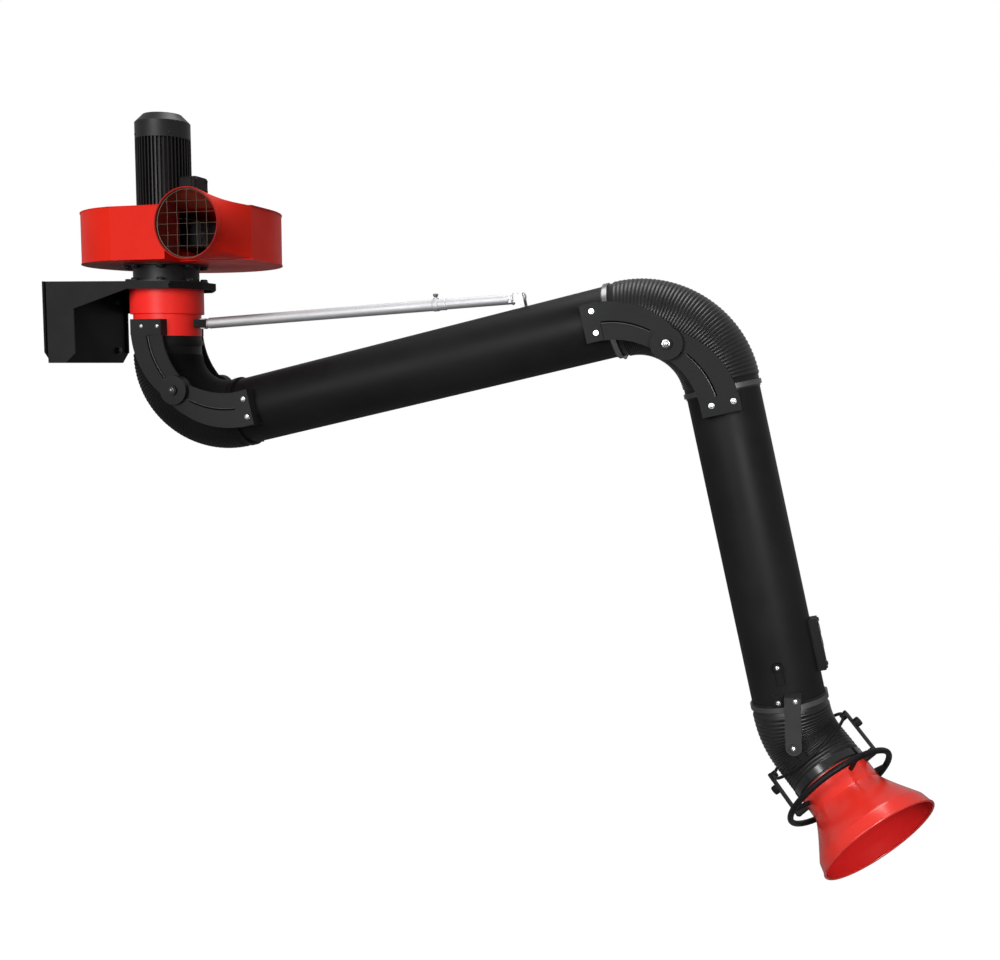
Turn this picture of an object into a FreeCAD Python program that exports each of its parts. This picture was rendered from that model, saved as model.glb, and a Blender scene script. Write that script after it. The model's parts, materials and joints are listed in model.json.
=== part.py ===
"""Wall-mounted welding fume extractor: a fan over a bracket, and a jointed suction arm below.

Millimetres. The origin is the centre of the wall plate's back face, +X leaves the wall and +Z
is up. The arm hangs from a vertical swivel under the bracket, in the plane y = 0. "near" is the
side of negative y and "far" the other. Every driving size is a cell of the sheet "Dims".
"""
import FreeCAD
import Part
import Sketcher

import math
import os

V = FreeCAD.Vector
Turn = FreeCAD.Rotation
X, Y, Z = V(1, 0, 0), V(0, 1, 0), V(0, 0, 1)
doc = FreeCAD.newDocument("fume_extractor")

SIZES = {
    # wall bracket, folded from plate
    "wall_width": 345, "wall_height": 196, "wall_plate": 6, "wall_chamfer": 26,
    "wall_hole_radius": 6, "wall_hole_span_y": 250, "wall_hole_span_z": 130,
    "swivel_reach": 235, "shelf_plate": 5, "shelf_lip": 12, "shelf_front": 120,
    "shelf_front_half": 31, "shelf_corner": 72, "shelf_corner_half": 103,
    "gusset_plate": 5, "gusset_inset": 5, "gusset_strip": 67, "gusset_far_strip": 6, "gusset_cut": 24,
    "gusset_knee": 33, "gusset_run": 200, "gusset_band": 13, "gusset_end_gap": 4,
    # air path
    "duct_radius": 80, "duct_wall": 2,
    # fan case
    "spacer_height": 45, "spacer_flange": 22, "spacer_flange_plate": 4,
    "case_height": 125, "case_sheet": 2, "case_lip": 1.5, "scroll_radius": 195.5,
    "scroll_step": 40, "scroll_fold": 20, "scroll_bulge": 15, "scroll_left": 6,
    "throat_inside": 105, "throat_place": 110, "outlet_offset": 195,
    "outlet_reach": 215, "outlet_collar": 15, "outlet_lift": 11,
    "guard_pitch": 25, "guard_wire": 1.6, "guard_rim": 3, "guard_plate": 2,
    "inlet_height": 28, "inlet_throat": 74, "inlet_flange": 18,
    # motor
    "motor_core": 58, "motor_fin_radius": 67, "motor_fin_plate": 2.4, "motor_fins": 44,
    "motor_wall": 5, "motor_flange_radius": 72, "motor_flange_plate": 14, "motor_length": 166,
    "end_shield": 10, "cowl_side": 40, "cowl_dome": 20, "cowl_top": 47, "cowl_sheet": 2,
    "cowl_slots": 16, "cowl_slot_width": 4, "cowl_slot_start": 16, "cowl_slot_end": 42,
    "stator_bore": 34, "stator_length": 90, "stator_place": 40, "air_gap": 0.5,
    "shaft_radius": 9.5, "shaft_foot": 36, "shaft_head": 32, "running_gap": 0.05,
    "terminal_height": 38, "terminal_width": 62, "terminal_reach": 104, "terminal_place": 34,
    "gland_radius": 9, "gland_length": 16,
    # impeller and the motor's own fan
    "impeller_radius": 138, "impeller_eye": 84, "impeller_height": 64, "impeller_sheet": 2.5,
    "impeller_blades": 10, "impeller_lean": 35, "impeller_hub": 22, "impeller_hub_height": 28,
    "impeller_gap": 34, "fan_radius": 54, "fan_blades": 6, "fan_blade_height": 16,
    "fan_gap": 6, "fan_hub": 16, "fan_sheet": 3,
    # swivel under the shelf
    "spigot_radius": 75, "spigot_wall": 3, "spigot_length": 40, "spigot_lip": 5,
    "spigot_lip_height": 6, "spigot_flange": 100, "spigot_flange_plate": 5,
    "ring_radius": 90, "ring_height": 65, "ring_floor": 5, "ring_recess": 1,
    "neck_radius": 82.5, "neck_height": 54, "seat_length": 30, "turn_gap": 0.3,
    # arm layout
    "pivot_offset": 82, "shoulder_drop": 163, "upper_length": 1180, "lower_length": 896,
    "upper_angle": 13, "lower_angle": 77, "tube_setback": 102, "wrist_setback": 60,
    # hinge straps, one pair on each side of a joint
    "strap_reach": 152, "arm_reach": 167, "strap_half": 42, "strap_split": 5, "strap_step": 3,
    "strap_plate": 8, "strap_side": 92, "block_length": 38, "hub_radius": 35, "hub_plate": 10,
    "bolt_radius": 8, "bolt_head_radius": 12, "bolt_head": 6,
    # hoses and their clamps
    "hose_bore": 80.3, "hose_root": 81.8, "hose_crest": 84.4, "hose_cuff": 26,
    "hose_cuff_long": 44, "hose_handle": 100, "wrist_handle": 70, "hose_ribs": 44,
    "wrist_ribs": 22, "clamp_plate": 3.2, "clamp_width": 11,
    # telescopic strut
    "strut_foot_reach": 103, "strut_foot_rise": 162, "strut_head_reach": 859,
    "strut_head_rise": 21, "strut_tube_radius": 13.4, "strut_rod_radius": 12.2,
    "strut_tube_length": 634, "strut_tube_start": 16, "strut_bore_start": 90, "strut_eye": 13,
    "strut_eye_width": 18, "strut_neck": 8, "strut_insert": 130, "strut_pin": 5, "strut_play": 3.6,
    "strut_bias": 3, "lug_cheek": 5, "lug_half": 10, "lug_gap": 0.5,
    "lock_radius": 3, "lock_boss": 6.5, "lock_boss_height": 3, "lock_back": 24,
    "lock_knob": 6, "lock_knob_height": 6, "lock_foot": 4,
    # lower arm fittings
    "control_start": 649, "control_length": 113, "control_width": 44, "control_depth": 14,
    "damper_place": 725, "damper_gap": 2, "damper_sheet": 2.5, "damper_shaft": 5,
    "lever_length": 40, "lever_width": 16, "lever_plate": 5, "lever_gap": 2,
    "lever_knob": 9, "lever_knob_height": 9,
    # wrist gimbal
    "wrist_strap_width": 34, "wrist_strap_plate": 6, "wrist_block": 14, "wrist_block_back": 108,
    "wrist_lean": 10,
    "wrist_pin": 5, "wrist_pin_head": 9, "gimbal_radius": 102.5,
    "gimbal_rod": 3.5, "gimbal_drop": 38, "gimbal_angle": 45, "gimbal_boss": 8,
    "gimbal_lug_half": 8, "gimbal_lug_end": 12,
    # hood
    "hood_tilt": 29, "hood_neck": 90, "hood_cone": 144, "hood_bend": 219, "hood_mouth": 246,
    "hood_bend_radius": 130, "hood_mouth_radius": 137, "hood_sheet": 2, "hood_seat": 24, "hood_band": 16,
    "yoke_plate": 5, "yoke_width": 18, "yoke_block": 14, "yoke_block_place": 90,
    "yoke_knob": 9.5, "yoke_knob_height": 12, "yoke_knob_place": 28, "handle_radius": 127, "handle_rod": 6.5,
    "handle_place": 112, "handle_spokes": 4,
}

sheet = doc.addObject("Spreadsheet::Sheet", "Dims")
for line, (alias, number) in enumerate(SIZES.items(), 1):
    sheet.set(f"A{line}", alias)
    sheet.set(f"B{line}", str(number))
    sheet.setAlias(f"B{line}", alias)
doc.recompute()


class Size:
    """A length or count, with the sheet expression that yields it."""

    def __init__(self, value, text):
        self.value = value
        self.text = text

    def __add__(self, other):
        other = as_size(other)
        return Size(self.value + other.value, f"({self.text} + {other.text})")

    def __sub__(self, other):
        other = as_size(other)
        return Size(self.value - other.value, f"({self.text} - {other.text})")

    def __mul__(self, other):
        other = as_size(other)
        return Size(self.value * other.value, f"({self.text} * {other.text})")

    def __truediv__(self, other):
        other = as_size(other)
        return Size(self.value / other.value, f"({self.text} / {other.text})")

    def __neg__(self):
        return Size(-self.value, f"(0 - {self.text})")

    def __radd__(self, other):
        return as_size(other) + self

    def __rsub__(self, other):
        return as_size(other) - self

    def __rmul__(self, other):
        return as_size(other) * self


def as_size(number):
    return number if isinstance(number, Size) else Size(number, repr(number))


def value(number):
    return as_size(number).value


def hypotenuse(a, b):
    return Size(math.hypot(a.value, b.value), f"sqrt({a.text} ^ 2 + {b.text} ^ 2)")


class Dims:
    """Sizes of the sheet by name."""

    def __getattr__(self, alias):
        return Size(float(sheet.get(alias)), f"Dims.{alias}")


D = Dims()
nodes = []


def bind(obj, prop, size):
    obj.setExpression(prop, as_size(size).text)


def at(x=0, y=0, z=0, axis=Z, angle=0):
    """Placement at a point, turned by an angle in degrees."""
    return FreeCAD.Placement(V(value(x), value(y), value(z)), Turn(axis, value(angle)))


def finish(obj, label, frame):
    """Name a finished sub-part, put it in its place and list it."""
    obj.Label = label
    obj.Placement = frame
    nodes.append(obj)
    return obj


def new_sketch(body, role, shift=0):
    """Sketch on one of the body's origin planes, moved along the plane's normal."""
    sketch = body.newObject("Sketcher::SketchObject", f"{body.Name}_sketch")
    plane = [part for part in body.Origin.OriginFeatures if part.Role == role][0]
    sketch.AttachmentSupport = (plane, [""])
    sketch.MapMode = "FlatFace"
    bind(sketch, "AttachmentOffset.Base.z", shift)
    return sketch


def hold(sketch, kind, geo, point, size):
    """Fix one coordinate of a sketch point to a size."""
    index = sketch.addConstraint(Sketcher.Constraint(kind, -1, 1, geo, point, value(size)))
    bind(sketch, f"Constraints[{index}]", size)


def arc_centre(start, end, centre_x):
    """Centre of the arc between two points whose centre has a known x."""
    (ax, ay), (bx, by), cx = start, end, centre_x
    cy = ((bx - cx) ** 2 + by ** 2 - (ax - cx) ** 2 - ay ** 2) / (2 * (by - ay))
    return V(cx, cy, 0)


def outline(sketch, corners):
    """Closed outline. A corner is (x, y), or (x, y, centre_x, sense) where an arc leaves it."""
    first = sketch.GeometryCount
    count = len(corners)
    for index, corner in enumerate(corners):
        start = (value(corner[0]), value(corner[1]))
        after = corners[(index + 1) % count]
        end = (value(after[0]), value(after[1]))
        if len(corner) == 2:
            sketch.addGeometry(Part.LineSegment(V(*start, 0), V(*end, 0)), False)
            continue
        centre = arc_centre(start, end, value(corner[2]))
        radius = (V(*start, 0) - centre).Length
        angles = [math.atan2(y - centre.y, x - centre.x) for x, y in (start, end)]
        if corner[3] < 0:
            angles.reverse()
        circle = Part.Circle(centre, Z, radius)
        sketch.addGeometry(Part.ArcOfCircle(circle, *angles), False)
    for index, corner in enumerate(corners):
        geo = first + index
        after = first + (index + 1) % count
        clockwise = len(corner) == 4 and corner[3] < 0
        last_point = 1 if clockwise else 2
        next_corner = corners[(index + 1) % count]
        next_point = 2 if len(next_corner) == 4 and next_corner[3] < 0 else 1
        sketch.addConstraint(Sketcher.Constraint("Coincident", geo, last_point, after, next_point))
        start_point = 2 if clockwise else 1
        hold(sketch, "DistanceX", geo, start_point, corner[0])
        hold(sketch, "DistanceY", geo, start_point, corner[1])
        if len(corner) == 4:
            hold(sketch, "DistanceX", geo, 3, corner[2])


def circle(sketch, x, y, radius):
    geo = sketch.addGeometry(Part.Circle(V(value(x), value(y), 0), Z, value(radius)), False)
    hold(sketch, "DistanceX", geo, 3, x)
    hold(sketch, "DistanceY", geo, 3, y)
    index = sketch.addConstraint(Sketcher.Constraint("Radius", geo, value(radius)))
    bind(sketch, f"Constraints[{index}]", radius)


def pad(body, sketch, length, backwards=False):
    feature = body.newObject("PartDesign::Pad", f"{body.Name}_pad")
    feature.Profile = sketch
    feature.Reversed = backwards
    bind(feature, "Length", length)
    return feature


def plate(name, role, shift, corners, holes, thickness, backwards=False):
    """Body padded from one outline with round holes."""
    body = doc.addObject("PartDesign::Body", name)
    sketch = new_sketch(body, role, shift)
    outline(sketch, corners)
    for hole in holes:
        circle(sketch, *hole)
    pad(body, sketch, thickness, backwards)
    return body


def turned(name, corners, axis="V_Axis"):
    """Body of revolution: (radius, height) round Z, or (place, radius) round X with H_Axis."""
    body = doc.addObject("PartDesign::Body", name)
    sketch = new_sketch(body, "XZ_Plane")
    outline(sketch, corners)
    feature = body.newObject("PartDesign::Revolution", f"{name}_turn")
    feature.Profile = sketch
    feature.ReferenceAxis = (sketch, [axis])
    feature.Angle = 360
    return body


def cylinder(radius, height, place):
    obj = doc.addObject("Part::Cylinder", "rod")
    bind(obj, "Radius", radius)
    bind(obj, "Height", height)
    obj.Placement = place
    return obj


def box(x0, x1, y0, y1, z0, z1):
    """Box between three pairs of coordinates."""
    obj = doc.addObject("Part::Box", "block")
    for prop, low, high in (("Length", x0, x1), ("Width", y0, y1), ("Height", z0, z1)):
        bind(obj, prop, as_size(high) - low)
    obj.Placement = at(x0, y0, z0)
    return obj


def along_y(x, y0, z):
    """Placement that points a cylinder along +Y from y0."""
    return at(x, y0, z, X, -90)


def along_x(x0, y, z):
    """Placement that points a cylinder along +X from x0."""
    return at(x0, y, z, Y, 90)


def joined(*parts):
    obj = doc.addObject("Part::MultiFuse", "joined")
    obj.Shapes = list(parts)
    obj.Refine = True
    return obj


def less(base, *tools):
    obj = doc.addObject("Part::Cut", "less")
    obj.Base = base
    obj.Tool = tools[0] if len(tools) == 1 else joined(*tools)
    return obj


def shared(a, b):
    obj = doc.addObject("Part::Common", "shared")
    obj.Base = a
    obj.Tool = b
    return obj


def pinned(label, shape, frame):
    """Sub-part whose shape no sketch or primitive gives, such as a ribbed hose."""
    obj = doc.addObject("Part::Feature", label)
    obj.Shape = shape
    return finish(obj, label, frame)


# Frames of the arm's links. Local X runs along the link, away from its upper pivot.
row = at()
axis = at(D.swivel_reach)
shoulder = V((D.swivel_reach + D.pivot_offset).value, 0, -D.shoulder_drop.value)
upper = FreeCAD.Placement(shoulder, Turn(Y, -D.upper_angle.value))
elbow = upper.multVec(V(D.upper_length.value, 0, -2 * D.pivot_offset.value))
lower = FreeCAD.Placement(elbow, Turn(Y, D.lower_angle.value))
wrist = lower.multVec(V(D.lower_length.value, 0, D.pivot_offset.value))
gimbal = FreeCAD.Placement(wrist, Turn(Y, D.gimbal_angle.value))
hood = gimbal.multiply(at(D.gimbal_drop, axis=Z, angle=-D.hood_tilt))
# Seen from a joint's pivot, the link above it runs back along local X of these frames.
shoulder_back = FreeCAD.Placement(shoulder, Turn(Y, -90))
elbow_back = FreeCAD.Placement(elbow, Turn(Y, 180 - D.upper_angle.value))

top = D.wall_height / 2
shelf_under = top - D.shelf_plate


def wall_bracket():
    half = D.wall_width / 2
    cut = D.wall_chamfer
    corners = [(-half, cut - top), (cut - half, -top), (half - cut, -top), (half, cut - top),
               (half, top), (-half, top)]
    holes = [(D.wall_hole_span_y * u / 2, D.wall_hole_span_z * v / 2, D.wall_hole_radius)
             for u in (-1, 1) for v in (-1, 1)]
    finish(plate("wall_plate", "YZ_Plane", 0, corners, holes, D.wall_plate), "wall_plate", row)

    root_half = half - D.gusset_inset
    corner_x = D.swivel_reach + D.shelf_corner
    run = hypotenuse(corner_x - D.wall_plate, root_half - D.shelf_corner_half)
    taper = math.atan2((root_half - D.shelf_corner_half).value, (corner_x - D.wall_plate).value)
    end = run - D.gusset_end_gap
    band = shelf_under - D.gusset_band
    web = [(D.gusset_run, band), (end, band), (end, shelf_under), (0, shelf_under)]
    near = [(0, -top), (D.gusset_strip - D.gusset_cut, -top),
            (D.gusset_strip, D.gusset_cut - top), (D.gusset_strip, D.gusset_knee)]
    far = [(0, cut - top), (D.gusset_far_strip, cut - top), (D.gusset_far_strip, D.gusset_knee)]
    start = D.wall_plate.value + D.gusset_plate.value * math.sin(taper)
    for label, sign, side in (("gusset_near", -1, near), ("gusset_far", 1, far)):
        gusset = plate(label, "XZ_Plane", 0, side + web, [], D.gusset_plate, backwards=sign < 0)
        finish(gusset, label, at(start, root_half * sign, 0, Z, -sign * math.degrees(taper)))

    front = D.swivel_reach + D.shelf_front
    rim = [(corner_x, -D.shelf_corner_half), (front, -D.shelf_front_half),
           (front, D.shelf_front_half), (corner_x, D.shelf_corner_half)]
    shelf = plate("shelf_plate", "XY_Plane", shelf_under,
                  [(D.wall_plate, -root_half)] + rim + [(D.wall_plate, root_half)],
                  [(D.swivel_reach, 0, D.spigot_radius - D.spigot_wall)], D.shelf_plate)
    shrink = 1 - D.shelf_plate / D.shelf_front
    inner = [(D.swivel_reach + (x - D.swivel_reach) * shrink, y * shrink) for x, y in rim]
    lip = new_sketch(shelf, "XY_Plane", shelf_under)
    outline(lip, rim + inner[::-1])
    pad(shelf, lip, D.shelf_lip, backwards=True)
    finish(shelf, "shelf_plate", row)


def swivel():
    """Fixed spigot under the shelf, and the red collar that hangs on its lip and turns."""
    flange_under = shelf_under - D.spigot_flange_plate
    lip_top = flange_under - D.spigot_length
    lip_under = lip_top - D.spigot_lip_height
    bore = D.spigot_radius - D.spigot_wall
    lip = D.spigot_radius + D.spigot_lip
    spigot = turned("swivel_spigot", [
        (bore, shelf_under), (D.spigot_flange, shelf_under), (D.spigot_flange, flange_under),
        (D.spigot_radius, flange_under), (D.spigot_radius, lip_top), (lip, lip_top),
        (lip, lip_under), (bore, lip_under)])
    finish(spigot, "swivel_spigot", axis)

    ring_top = flange_under - D.turn_gap
    ring_under = ring_top - D.ring_height
    neck_under = ring_under - D.neck_height
    seat_under = neck_under - D.seat_length
    journal = D.spigot_radius + D.running_gap
    recess = lip + D.ring_recess
    inside = D.duct_radius - D.duct_wall
    collar = turned("swivel_collar", [
        (journal, ring_top), (D.ring_radius, ring_top), (D.ring_radius, ring_under),
        (D.neck_radius, ring_under), (D.neck_radius, neck_under), (D.duct_radius, neck_under),
        (D.duct_radius, seat_under), (inside, seat_under), (inside, ring_under + D.ring_floor),
        (recess, ring_under + D.ring_floor), (recess, lip_top + D.turn_gap),
        (journal, lip_top + D.turn_gap)])
    finish(collar, "swivel_collar", axis)
    return neck_under


case_floor = top + D.spacer_height
case_in = case_floor + D.case_sheet
case_lid = case_floor + D.case_height - D.case_sheet
case_top = case_floor + D.case_height


def scroll(out):
    """Outside of the fan scroll, widened by a size: three quarter arcs of growing radius."""
    step = D.scroll_step
    near = step / 2 - D.scroll_radius - out
    left = -step / 2 - D.scroll_radius - D.scroll_left - out
    far = step / 2 + D.scroll_radius + step + out
    right = step / 2 + D.scroll_radius + step * 2 + out
    return near, left, far, right


def scroll_corners(out, throat_side):
    half = D.scroll_step / 2
    near, left, far, right = scroll(out)
    return [(throat_side, -D.throat_place), (throat_side, near),
            (-half - D.scroll_fold, near, D.scroll_bulge - half, -1), (left, half, half, -1),
            (half, far, half, -1), (right, -half), (right, -D.throat_place)]


def fan_case():
    spacer_flange = D.duct_radius + D.spacer_flange
    inside = D.duct_radius - D.duct_wall
    sheet_top = top + D.spacer_flange_plate
    sheet_under = case_floor - D.spacer_flange_plate
    spacer = turned("fan_spacer", [
        (inside, top), (spacer_flange, top), (spacer_flange, sheet_top),
        (D.duct_radius, sheet_top), (D.duct_radius, sheet_under), (spacer_flange, sheet_under),
        (spacer_flange, case_floor), (inside, case_floor)])
    finish(spacer, "fan_spacer", axis)

    cover = scroll_corners(D.case_lip, D.throat_inside)
    base = plate("case_base", "XY_Plane", case_floor, cover, [(0, 0, inside)], D.case_sheet)
    finish(base, "case_base", axis)
    lid = plate("case_lid", "XY_Plane", case_lid, cover,
                [(0, 0, D.impeller_hub)], D.case_sheet)
    finish(lid, "case_lid", axis)

    half = D.scroll_step / 2
    near, left, far, right = scroll(-D.case_sheet)
    back = [(right, -D.throat_place), (right, -half, half, 1), (half, far, half, 1),
            (left, half, D.scroll_bulge - half, 1), (-half - D.scroll_fold, near),
            (D.throat_inside - D.case_sheet, near),
            (D.throat_inside - D.case_sheet, -D.throat_place)]
    wrapper = plate("case_wrapper", "XY_Plane", case_in,
                    scroll_corners(0, D.throat_inside) + back, [], case_lid - case_in)
    finish(wrapper, "case_wrapper", axis)

    cone_top = case_in + D.inlet_height
    rim = inside + D.inlet_flange
    cone = turned("inlet_cone", [
        (inside, case_in), (rim, case_in), (rim, case_in + D.case_sheet),
        (inside + D.case_sheet, case_in + D.case_sheet),
        (D.inlet_throat + D.case_sheet, cone_top), (D.inlet_throat, cone_top)])
    finish(cone, "inlet_cone", axis)


def square_wire(x0, x1, z0, z1, y):
    corners = [V(x0, y, z0), V(x1, y, z0), V(x1, y, z1), V(x0, y, z1)]
    return Part.makePolygon(corners + corners[:1])


def quartered_circle(radius, centre, y):
    """Circle facing Y as four arcs, which begin where a square's corners do."""
    points = [centre + V(radius * math.cos(a), y, radius * math.sin(a))
              for a in [math.radians(225 + 45 * k) for k in range(9)]]
    arcs = [Part.Arc(points[k], points[k + 1], points[k + 2]).toShape() for k in (0, 2, 4, 6)]
    return Part.Wire(arcs)


def outlet():
    """Sheet duct from the scroll's square throat to a round collar, and its wire guard."""
    right = scroll(0)[3].value
    sheet_thick = D.case_sheet.value
    mouth = V(D.outlet_offset.value, 0, (case_in + case_lid).value / 2 + D.outlet_lift.value)
    start, reach = -D.throat_place.value, -D.outlet_reach.value
    end = reach - D.outlet_collar.value
    radius = D.duct_radius.value

    def solid(skin, margin):
        square = square_wire(D.throat_inside.value + skin, right - skin,
                             case_in.value + skin, case_lid.value - skin, start + margin)
        ring = quartered_circle(radius - skin, mouth, reach)
        cone = Part.makeLoft([square, ring], True, True)
        collar = Part.makeCylinder(radius - skin, reach - end + margin,
                                   mouth + V(0, reach, 0), V(0, -1, 0))
        return cone.fuse(collar)

    shell = solid(0, 0).cut(solid(sheet_thick, 0)).cut(
        Part.makeCylinder(radius - sheet_thick, 2 * (reach - end), mouth + V(0, reach, 0), V(0, -1, 0)))
    pinned("outlet_duct", shell, axis)

    bore = radius - sheet_thick
    wire, pitch, thick = D.guard_wire.value, D.guard_pitch.value, D.guard_plate.value
    reach_in = bore - D.guard_rim.value
    side = int(bore // pitch) + 1
    opening = Part.makeCylinder(reach_in, thick, V(0, 0, 0), V(0, -1, 0))
    cells = []
    for i in range(-side, side):
        for k in range(-side, side):
            cell = Part.makeBox(pitch - wire, thick, pitch - wire,
                                V(i * pitch + wire / 2, -thick, k * pitch + wire / 2))
            corners = [math.hypot(i + a, k + b) * pitch for a in (0, 1) for b in (0, 1)]
            if min(corners) < reach_in - wire:
                cells.append(cell)
    gaps = opening.common(Part.makeCompound(cells))
    net = Part.makeCylinder(bore, thick, V(0, 0, 0), V(0, -1, 0)).cut(gaps)
    print("guard gaps", len(gaps.Solids))
    pinned("outlet_guard", net, at(D.swivel_reach.value + mouth.x, end + 3 * thick, mouth.z))


def motor():
    base = case_top + D.motor_flange_plate
    head = base + D.motor_length
    journal = D.shaft_radius + D.running_gap
    inside = D.motor_core - D.motor_wall
    flange = turned("motor_flange", [(journal, case_top), (D.motor_flange_radius, case_top),
                                     (D.motor_flange_radius, base), (journal, base)])
    finish(flange, "motor_flange", axis)

    frame = doc.addObject("PartDesign::Body", "motor_frame")
    core = new_sketch(frame, "XY_Plane", base)
    circle(core, 0, 0, D.motor_core)
    circle(core, 0, 0, inside)
    pad(frame, core, D.motor_length)
    fin = new_sketch(frame, "XY_Plane", base)
    half = D.motor_fin_plate / 2
    root = D.motor_core - half
    outline(fin, [(root, -half), (D.motor_fin_radius, -half), (D.motor_fin_radius, half),
                  (root, half)])
    first = pad(frame, fin, D.motor_length)
    ring = frame.newObject("PartDesign::PolarPattern", "motor_fins")
    ring.Originals = [first]
    ring.Axis = (fin, ["N_Axis"])
    ring.Angle = 360
    bind(ring, "Occurrences", D.motor_fins)
    frame.Tip = ring
    low = base + D.terminal_place
    half_width = D.terminal_width / 2
    seat = box(D.motor_core, D.terminal_reach, -half_width, half_width, low,
               low + D.terminal_height)
    shield = turned("end_shield", [(journal, head - D.end_shield), (inside, head - D.end_shield),
                                   (inside, head), (journal, head)])
    finish(less(joined(frame, shield), seat), "motor_housing", axis)
    case = box(D.motor_core, D.terminal_reach, -half_width, half_width, low,
               low + D.terminal_height)
    finish(case, "terminal_box", axis.multiply(case.Placement))
    gland_x = (D.motor_core + D.terminal_reach) / 2
    gland = cylinder(D.gland_radius, D.gland_length, at())
    finish(gland, "cable_gland", axis.multiply(at(gland_x, 0, low - D.gland_length)))

    stator_low = base + D.stator_place
    stator = turned("motor_stator", [
        (D.stator_bore, stator_low), (inside, stator_low),
        (inside, stator_low + D.stator_length), (D.stator_bore, stator_low + D.stator_length)])
    finish(stator, "motor_stator", axis)

    skin = D.cowl_sheet
    shoulder_z = head + D.cowl_side
    cap = shoulder_z + D.cowl_dome
    shell = turned("cowl_shell", [
        (D.motor_fin_radius - skin, head), (D.motor_fin_radius, head),
        (D.motor_fin_radius, shoulder_z), (D.cowl_top, cap), (0, cap), (0, cap - skin),
        (D.cowl_top - skin, cap - skin), (D.motor_fin_radius - skin, shoulder_z)])
    slots = []
    for k in range(int(D.cowl_slots.value)):
        slot = box(D.cowl_slot_start, D.cowl_slot_end, -D.cowl_slot_width / 2,
                   D.cowl_slot_width / 2, cap - skin * 2, cap + skin)
        slot.Placement = at(axis=Z, angle=360 * k / D.cowl_slots.value).multiply(slot.Placement)
        slots.append(slot)
    finish(less(shell, *slots), "motor_cowl", axis)

    shaft_low = case_lid - D.shaft_foot
    shaft_high = head + D.shaft_head
    core_radius = D.stator_bore - D.air_gap
    rotor = turned("motor_rotor", [
        (0, shaft_low), (D.shaft_radius, shaft_low), (D.shaft_radius, stator_low),
        (core_radius, stator_low), (core_radius, stator_low + D.stator_length),
        (D.shaft_radius, stator_low + D.stator_length), (D.shaft_radius, shaft_high),
        (0, shaft_high)])
    finish(rotor, "motor_rotor", axis)
    return head, shaft_low


def wheel(blades, length, height, lean, inner, z0, thick):
    """Straight blades set round an eye, each leaning back from the radius."""
    parts = []
    for k in range(int(value(blades))):
        blade = box(0, length, 0, thick, 0, height)
        spin = at(axis=Z, angle=360 * k / value(blades))
        blade.Placement = spin.multiply(at(inner, 0, z0, Z, lean))
        parts.append(blade)
    return parts


def rotating_parts(head, shaft_low):
    shroud = case_in + D.impeller_gap
    disc = shroud + D.impeller_height
    skin = D.impeller_sheet
    lean = D.impeller_lean
    length = (D.impeller_radius - D.impeller_eye) * 1.12
    blades = wheel(D.impeller_blades, length, D.impeller_height, lean, D.impeller_eye,
                   shroud + skin / 2, skin)
    plate_disc = cylinder(D.impeller_radius, skin, at(z=disc))
    hub = cylinder(D.impeller_hub, D.impeller_hub_height, at(z=disc + skin - D.impeller_hub_height))
    ring = less(cylinder(D.impeller_radius, skin, at(z=shroud)),
                cylinder(D.impeller_eye, skin * 3, at(z=shroud - skin)))
    inside = cylinder(D.impeller_radius, D.impeller_height * 2, at(z=shroud - skin))
    body = joined(plate_disc, hub, ring, shared(inside, joined(*blades)))
    bore = cylinder(D.shaft_radius, D.impeller_height * 3, at(z=shroud - D.impeller_height))
    finish(less(body, bore), "impeller", axis)

    fan_low = head + D.fan_gap
    vanes = wheel(D.fan_blades, D.fan_radius - D.fan_hub / 2, D.fan_blade_height, 0,
                  D.fan_hub / 2, fan_low, D.fan_sheet)
    web = cylinder(D.fan_radius, D.fan_sheet, at(z=fan_low))
    boss = cylinder(D.fan_hub, D.fan_blade_height, at(z=fan_low))
    hole = cylinder(D.shaft_radius, D.fan_blade_height * 3, at(z=fan_low - D.fan_blade_height))
    finish(less(joined(web, boss, *vanes), hole), "cooling_fan", axis)


def rim_disc(reach, x, z, bottom, flip, start, thick):
    """Disc that touches the line a size beyond the pivot, and whose edge passes a point."""
    rise = z + bottom
    radius = ((reach - x) * (reach - x) + rise * rise) / (rise * 2)
    return cylinder(radius, thick, along_y(reach, start, (radius - bottom) * flip))


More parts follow.
